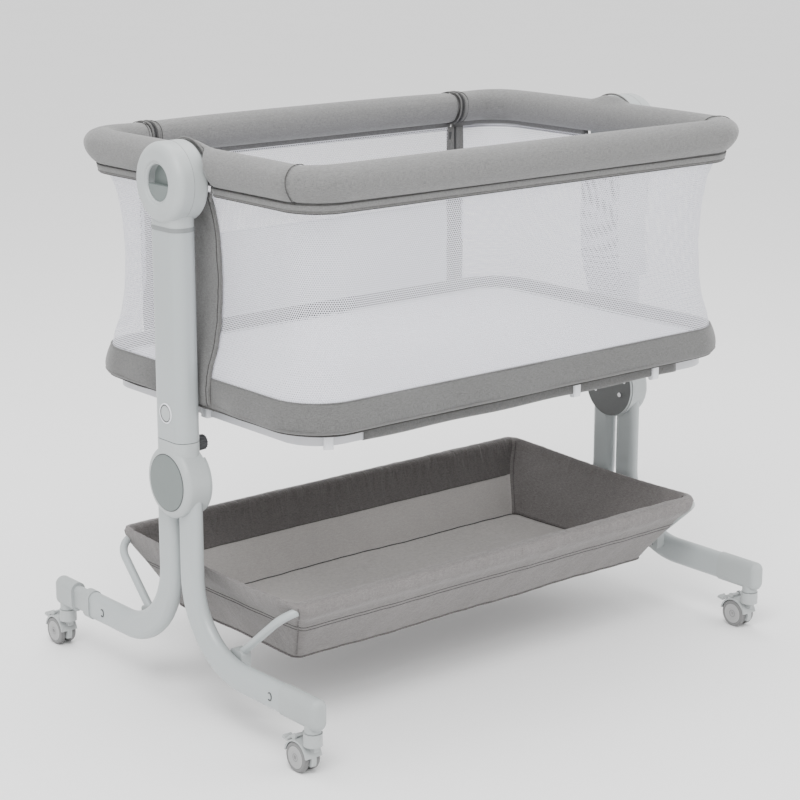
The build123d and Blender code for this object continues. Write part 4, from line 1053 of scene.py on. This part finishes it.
def basket():
    """Cloth basket sewn from five panels, with a sleeve along the front and back rims."""
    p, normal, _ = rounded(BASKET_REF_L, BASKET_REF_W, BASKET_BEND, 5.0)
    long_side = 1 - smoothstep(np.abs(p[:, 0]), 380.0, 391.0)
    levels = spline([w[1:] for w in BASKET_WALL], 3)
    back = smoothstep(p[:, 1], -100.0, 200.0)
    rows = []
    for w, zw, length, zl in levels:
        x = p[:, 0] * length / BASKET_REF_L
        y = p[:, 1] * (w * long_side + (w - 3.0) * (1 - long_side)) / BASKET_REF_W
        z = zw * long_side + zl * (1 - long_side)
        lift = smoothstep(zl, 130, 203)
        dip = 2.5 * (1 - long_side) * (1 - (np.abs(p[:, 1]) / BASKET_REF_W) ** 2)
        z = z + 7.0 * back * smoothstep(zl, 189, 204) - dip * lift
        rows.append(np.column_stack([x, y, z]))
    rows = np.array(rows)
    flat_points = rows.reshape(-1, 3)
    uneven = ripple(flat_points * (1, 1, 0.5), 31, 14.0, 0.8)
    uneven += ripple(flat_points * (0.5, 0.5, 1), 32, 60.0, 1.5)
    gather = ripple(flat_points * (1, 1, 0.15), 35, 5.5, 1.1)
    gather *= smoothstep(flat_points[:, 2], 165, 200)
    uneven = (uneven + gather).reshape(rows.shape[:2])
    inside_from = 3 * BASKET_IN_FROM
    sleeve = smoothstep(levels[:, 1], 168.0, 182.0)[:, None]
    away = np.where(np.arange(len(levels)) < inside_from, 1.0, -1.0)[:, None]
    uneven = uneven * (1 - sleeve) + np.abs(uneven) * away * sleeve
    rows[:, :, 0] += uneven * normal[:, 0]
    rows[:, :, 1] += uneven * normal[:, 1]
    bottom = levels[:, 1] < 99.5
    floor_points = rows[bottom].reshape(-1, 3)
    rows[bottom, :, 2] += ripple(floor_points, 33, 40.0, 0.9).reshape(-1, len(p))
    ob = grid("basket_cloth", rows, M["basket"], False, True, True)
    ob.data.materials.append(M["basket_dark"])
    ob.data.materials.append(M["basket_lit_inside"])
    nv = rows.shape[1]
    # material 2, the inside floor and lower back wall, is the lighter cloth, partly lining colour and partly
    # painted light against the shade inside the basket
    for face in ob.data.polygons:
        i, j = divmod(face.vertices[0], nv)
        y, height = p[j, 1], levels[min(i, len(levels) - 1), 1]
        if i < inside_from:
            continue
        if height <= FLOOR_Z or len(face.vertices) > 4:
            face.material_index = 2
        elif y > 195 and abs(p[j, 0]) < 384:
            face.material_index = 1 if height > HEM_Z else 2
    finish_piece(ob, "stand", ["basket"])

    def row_near(height, inside):
        side = slice(inside_from, None) if inside else slice(0, inside_from)
        return (inside_from if inside else 0) + int(np.argmin(np.abs(levels[side, 1] - height)))

    cords = [
        ("seam_high", 156.5, False, 0.45, "thread", 0.3),
        ("seam_low", 152.0, False, 0.45, "thread", 0.3),
        ("bottom_edge", 96.5, False, 1.5, "basket_dark", 0.6),
        ("floor_seam", FLOOR_Z, True, 1.0, "thread", 0.0),
    ]
    for tag, height, inside, r, mat, out in cords:
        line = rows[row_near(height, inside)] + np.column_stack([normal * out, np.zeros(len(p))])
        finish_piece(tube(f"basket_{tag}", line, r, M[mat], True), "stand")
    hem = row_near(HEM_Z, True)
    along = np.abs(p[:, 0]) < 380
    for tag, sign in (("front", -1), ("back", 1)):
        line = rows[hem, along & (p[:, 1] * sign > 200)] - (0, 0.6 * sign, 0)
        finish_piece(tube(f"basket_hem_{tag}", line, 0.6, M["thread"]), "stand")
    for hand, k in SIDES.items():
        for tag, sign in (("front", -1), ("back", 1)):
            far = np.hypot(p[:, 0] - k * BASKET_REF_L, p[:, 1] - sign * BASKET_REF_W)
            corner = np.argmin(far)
            for where, inside, push in (("out", False, 0.5), ("in", True, -0.5)):
                first, last = sorted((row_near(99.0, inside), row_near(199.0, inside)))
                line = rows[first:last, corner] + np.append(normal[corner] * push, 0.0)
                name = f"basket_corner_{where}_{tag}_{hand}"
                finish_piece(tube(name, line, 0.8, M["basket_dark"]), "stand")


BASKET_IN_FROM = next(i for i, w in enumerate(BASKET_WALL) if w[0] == BASKET_IN)
basket()


# ---------------------------------------------------------------- carried-over CAD nodes
ROWS = ("front", "back")


def by_hand(*stems):
    """Names of the left and right nodes of each stem."""
    return [f"{stem}_{hand}" for stem in stems for hand in SIDES]


PAINT = {
    "recess_hub": by_hand("upper_hub_outer"),
    "hub": ["lower_hub_shells"] + by_hand("upper_hub_inner", "height_button"),
    "disc": ["lower_hub_caps"] + by_hand("hub_grip"),
    "plate": ["lower_hub_plates"],
    "dark": by_hand("thumb_screw"),
    "ring": by_hand("neck_ring"),
    "foot": ["front_foot_caps", "back_foot_collars", "basket_brackets"] + by_hand("foot_extension"),
    "paint": ["basket_tubes", "rail_tube", "drop_rail_tube"]
    + by_hand("mast_tube", "leg_front", "leg_back"),
    "ringtube": ["base_ring_tube"],
    "steel": ["inner_tubes"],
    "screw": ["stand_screws"],
    "board": ["base_board"],
    "zip": by_hand("zip_slider"),
    "castor": by_hand(*(f"castor_{part}_{row}" for part in ("fork", "pedal") for row in ROWS)),
}
for key, names in PAINT.items():
    for name in names:
        paint_node(name, M[key])
for row in ROWS:
    for hand in SIDES:
        name = f"castor_wheels_{row}_{hand}"
        lo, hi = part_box(name)
        paint_node(name, castor_tyre(f"castor_tyre_{row}_{hand}", tuple((lo + hi) / 2)))


# ---------------------------------------------------------------- small moulded details
RINGS = [
    # name, distance out, height, radius, thickness, material, body, slot
    ("button_bezel", 449.9, BUTTON_Z, 13.4, 1.2, "clip", "mast", "hub_plastic"),
    ("button_groove", 450.1, BUTTON_Z, 11.7, 0.8, "groove", "mast", "dark_plastic"),
    ("cap_groove", 451.2, CAP_Z, 40.2, 0.6, "groove", "stand", "dark_plastic"),
    ("hub_lip", 450.6, HUB_Z, 28.4, 3.4, "hub", "mast", "hub_plastic"),
    ("hub_half_seam", 430.0, HUB_Z, HUB_R, 0.35, "ring", "mast", "ring_plastic"),
]
RING_TURN = np.linspace(0, 2 * math.pi, 48, endpoint=False)
CATCH_X, CATCH_TURN = 440.9, np.radians(np.linspace(50, 310, 24))
for hand, k in SIDES.items():
    for label, out, z, r, thick, mat, body, slot in RINGS:
        y, up = r * np.cos(RING_TURN), z + r * np.sin(RING_TURN)
        pts = np.column_stack([np.full(48, k * out), y, up])
        sides = 12 if label == "hub_lip" else 8
        ring = tube(f"{label}_{hand}", pts, thick, M[mat], True, sides)
        finish_piece(ring, f"{hand}_mast" if body == "mast" else body)
    for tag, y in (("front", -218.0), ("back", 200.0)):
        across, up = y + 4.0 * np.cos(CATCH_TURN), FOOT_Z + 5.5 * np.sin(CATCH_TURN)
        pts = np.column_stack([np.full(24, k * CATCH_X), across, up])
        catch = tube(f"foot_catch_{tag}_{hand}", pts, 0.8, M["groove"])
        finish_piece(catch, "stand")


# ---------------------------------------------------------------- floor, lights, camera
bpy.ops.mesh.primitive_plane_add(size=60.0, location=(0, 0, -0.0002))
floor = bpy.context.object
floor.name = "floor"
paper = Shader("studio_floor", Roughness=0.9, Specular_IOR_Level=0.1)
paper.color(paper.ramp(paper.noise(2.0, 2.0), [(0.3, grey(0.93)), (0.7, grey(0.94))]))
floor.data.materials.append(paper.mat)

world = bpy.data.worlds.new("studio")
bpy.context.scene.world = world
world.use_nodes = True
world.node_tree.nodes["Background"].inputs["Color"].default_value = (1.0, 1.0, 1.0, 1.0)
world.node_tree.nodes["Background"].inputs["Strength"].default_value = 1.45


def area_light(name, at, aim, size, power):
    data = bpy.data.lights.new(name, "AREA")
    data.shape, data.size, data.size_y, data.energy = "RECTANGLE", size[0], size[1], power
    ob = bpy.data.objects.new(name, data)
    bpy.context.scene.collection.objects.link(ob)
    ob.location = at
    ob.rotation_euler = (Vector(aim) - Vector(at)).to_track_quat("-Z", "Y").to_euler()


area_light("key", (-1.9, -1.6, 3.2), (0, 0, 0.4), (1.6, 1.6), 110.0)
area_light("fill", (2.6, -2.6, 1.9), (0, 0, 0.4), (2.5, 2.0), 30.0)
area_light("top", (0.2, 0.6, 3.4), (0, 0, 0.3), (2.6, 2.2), 62.0)

cam_data = bpy.data.cameras.new("camera")
camera = bpy.data.objects.new("camera", cam_data)
bpy.context.scene.collection.objects.link(camera)
cam_data.sensor_width, cam_data.lens = 36.0, 96.27
cam_data.clip_start, cam_data.clip_end = 0.1, 100.0
CAMERA_AT, LOOK_DOWN, TURNED = (-2013.65, -2383.12, 1190.65), 14.541, -39.739
camera.location = to_row(CAMERA_AT)
camera.rotation_euler = (math.radians(90 - LOOK_DOWN), 0.0, math.radians(TURNED))
cam_data.dof.use_dof = False
bpy.context.scene.camera = camera
